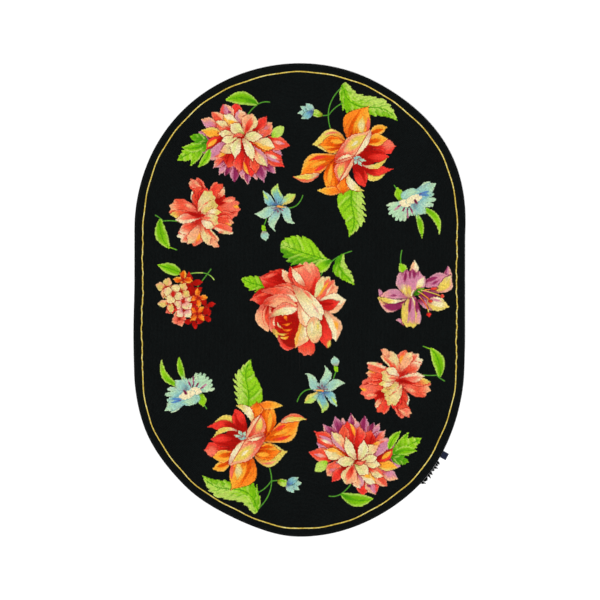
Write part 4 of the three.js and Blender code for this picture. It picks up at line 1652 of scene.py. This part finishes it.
# Two plies twisted round each other along a line.
def plies(line, thickEnd, phase, points, faces):
    travelled = travelAlong(line)
    travel = np.gradient(line, axis=0)
    travel /= np.hypot(*travel.T)[:, None]
    side = np.stack([travel[:, 1], -travel[:, 0]], 1)
    thick = looseYarn["thick"] + (thickEnd - looseYarn["thick"]) * travelled / travelled[-1]
    offset = thick * looseYarn["plyOff"]
    for ply in (0, math.pi):
        twist = phase + ply + 2 * math.pi * travelled / looseYarn["turnEvery"]
        places = np.concatenate([line + side * (offset * np.cos(twist))[:, None],
                                 (thick / 2 + offset * np.sin(twist))[:, None]], 1)
        tube(places, thick * looseYarn["plyThick"], looseYarn["sides"], points, faces)


# Single fibres stand out of a yarn and fan at its cut tip.
def fibres(line, dice, points, faces):
    count = looseYarn["hairSteps"]
    for hair in range(looseYarn["hairs"]):
        tip = hair < looseYarn["tipHairs"]
        spot = line[-1] if tip else line[dice.integers(5, len(line) - 3)]
        ahead = line[-1] - line[-3] if tip else line[-3] - line[-6]
        aim = math.atan2(ahead[1], ahead[0]) + dice.normal(0, .45 if tip else .9)
        length = dice.uniform(*looseYarn["hairLength"])
        rise = dice.uniform(*looseYarn["hairRise"])
        share = np.linspace(0, 1, count)
        aims = aim + dice.normal(0, .5) * share
        run = np.stack([spot[0] + np.cos(aims) * length * share, spot[1] + np.sin(aims) * length * share,
                        looseYarn["hairFoot"] + rise * share], 1)
        tube(run, looseYarn["hairThick"] * np.linspace(1, .4, count), 3, points, faces)


def makeLooseEnds(yarn):
    points, faces = [], []
    dice = np.random.default_rng(seeds["looseEnds"])
    root = [rootSpot(share)[0] for share in np.linspace(0, 1, looseYarn["rootSteps"])]
    plies(np.array(root), looseYarn["thick"], 0, points, faces)
    for row in looseEnds:
        line = looseLine(row)
        plies(line, looseYarn["tipThick"], dice.random() * 6, points, faces)
        # Shorter yarns lie beside each long one and close in on its tip, so the end is a matted tuft.
        for side in looseYarn["sideYarns"]:
            reach = row["reach"] * dice.uniform(.8, 1) / (1 + .25 * abs(side))
            beside = looseLine({**row, "reach": reach, "lean": row["lean"] + side * dice.uniform(4, 10)})
            ahead = beside[1] - beside[0]
            aside = ahead[::-1] * (side, -side) * looseYarn["spread"] / np.hypot(*ahead)
            plies(beside + aside, looseYarn["tipThick"], dice.random() * 6, points, faces)
        fibres(line, dice, points, faces)
    ends = newObject("looseYarnEnds", points, faces)
    fixNormals(ends)
    smoothFaces(ends)
    ends.data.materials.append(yarn)
    mapByFace(ends)
    return ends


dyedWool = flowerWool()
edgeWool = whippingWool()
backingCloth = makeBacking()
print("backing cloth made")
groundPieces = hookGround(groundWool())
print("ground loops hooked:", [len(piece.data.polygons) for piece in groundPieces])
goldLine = hookGoldLine(dyedWool)
print("gold line hooked")
flowerPieces = [hookFlower(number, flower, dyedWool) for number, flower in enumerate(flowers)]
print("flowers hooked:", [len(piece.data.polygons) for piece in flowerPieces])
whippedEdge = makeWhipping(edgeWool)
print("edge whipped")
ribbonTab = makeTab()
looseEnd = makeLooseEnds(edgeWool)
print("tab and loose ends made")

for helper in [thing for thing in bpy.data.objects if thing.name in ("oneLoop", "oneWhipTurn")]:
    bpy.data.objects.remove(helper)

pileSlot = [backingCloth, goldLine] + groundPieces + flowerPieces
for piece in pileSlot + [whippedEdge, ribbonTab, looseEnd]:
    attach(piece, "root")
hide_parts("pile_field")
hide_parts("whipped_edge")
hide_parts("ribbon_tab")
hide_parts("loose_yarn_ends")
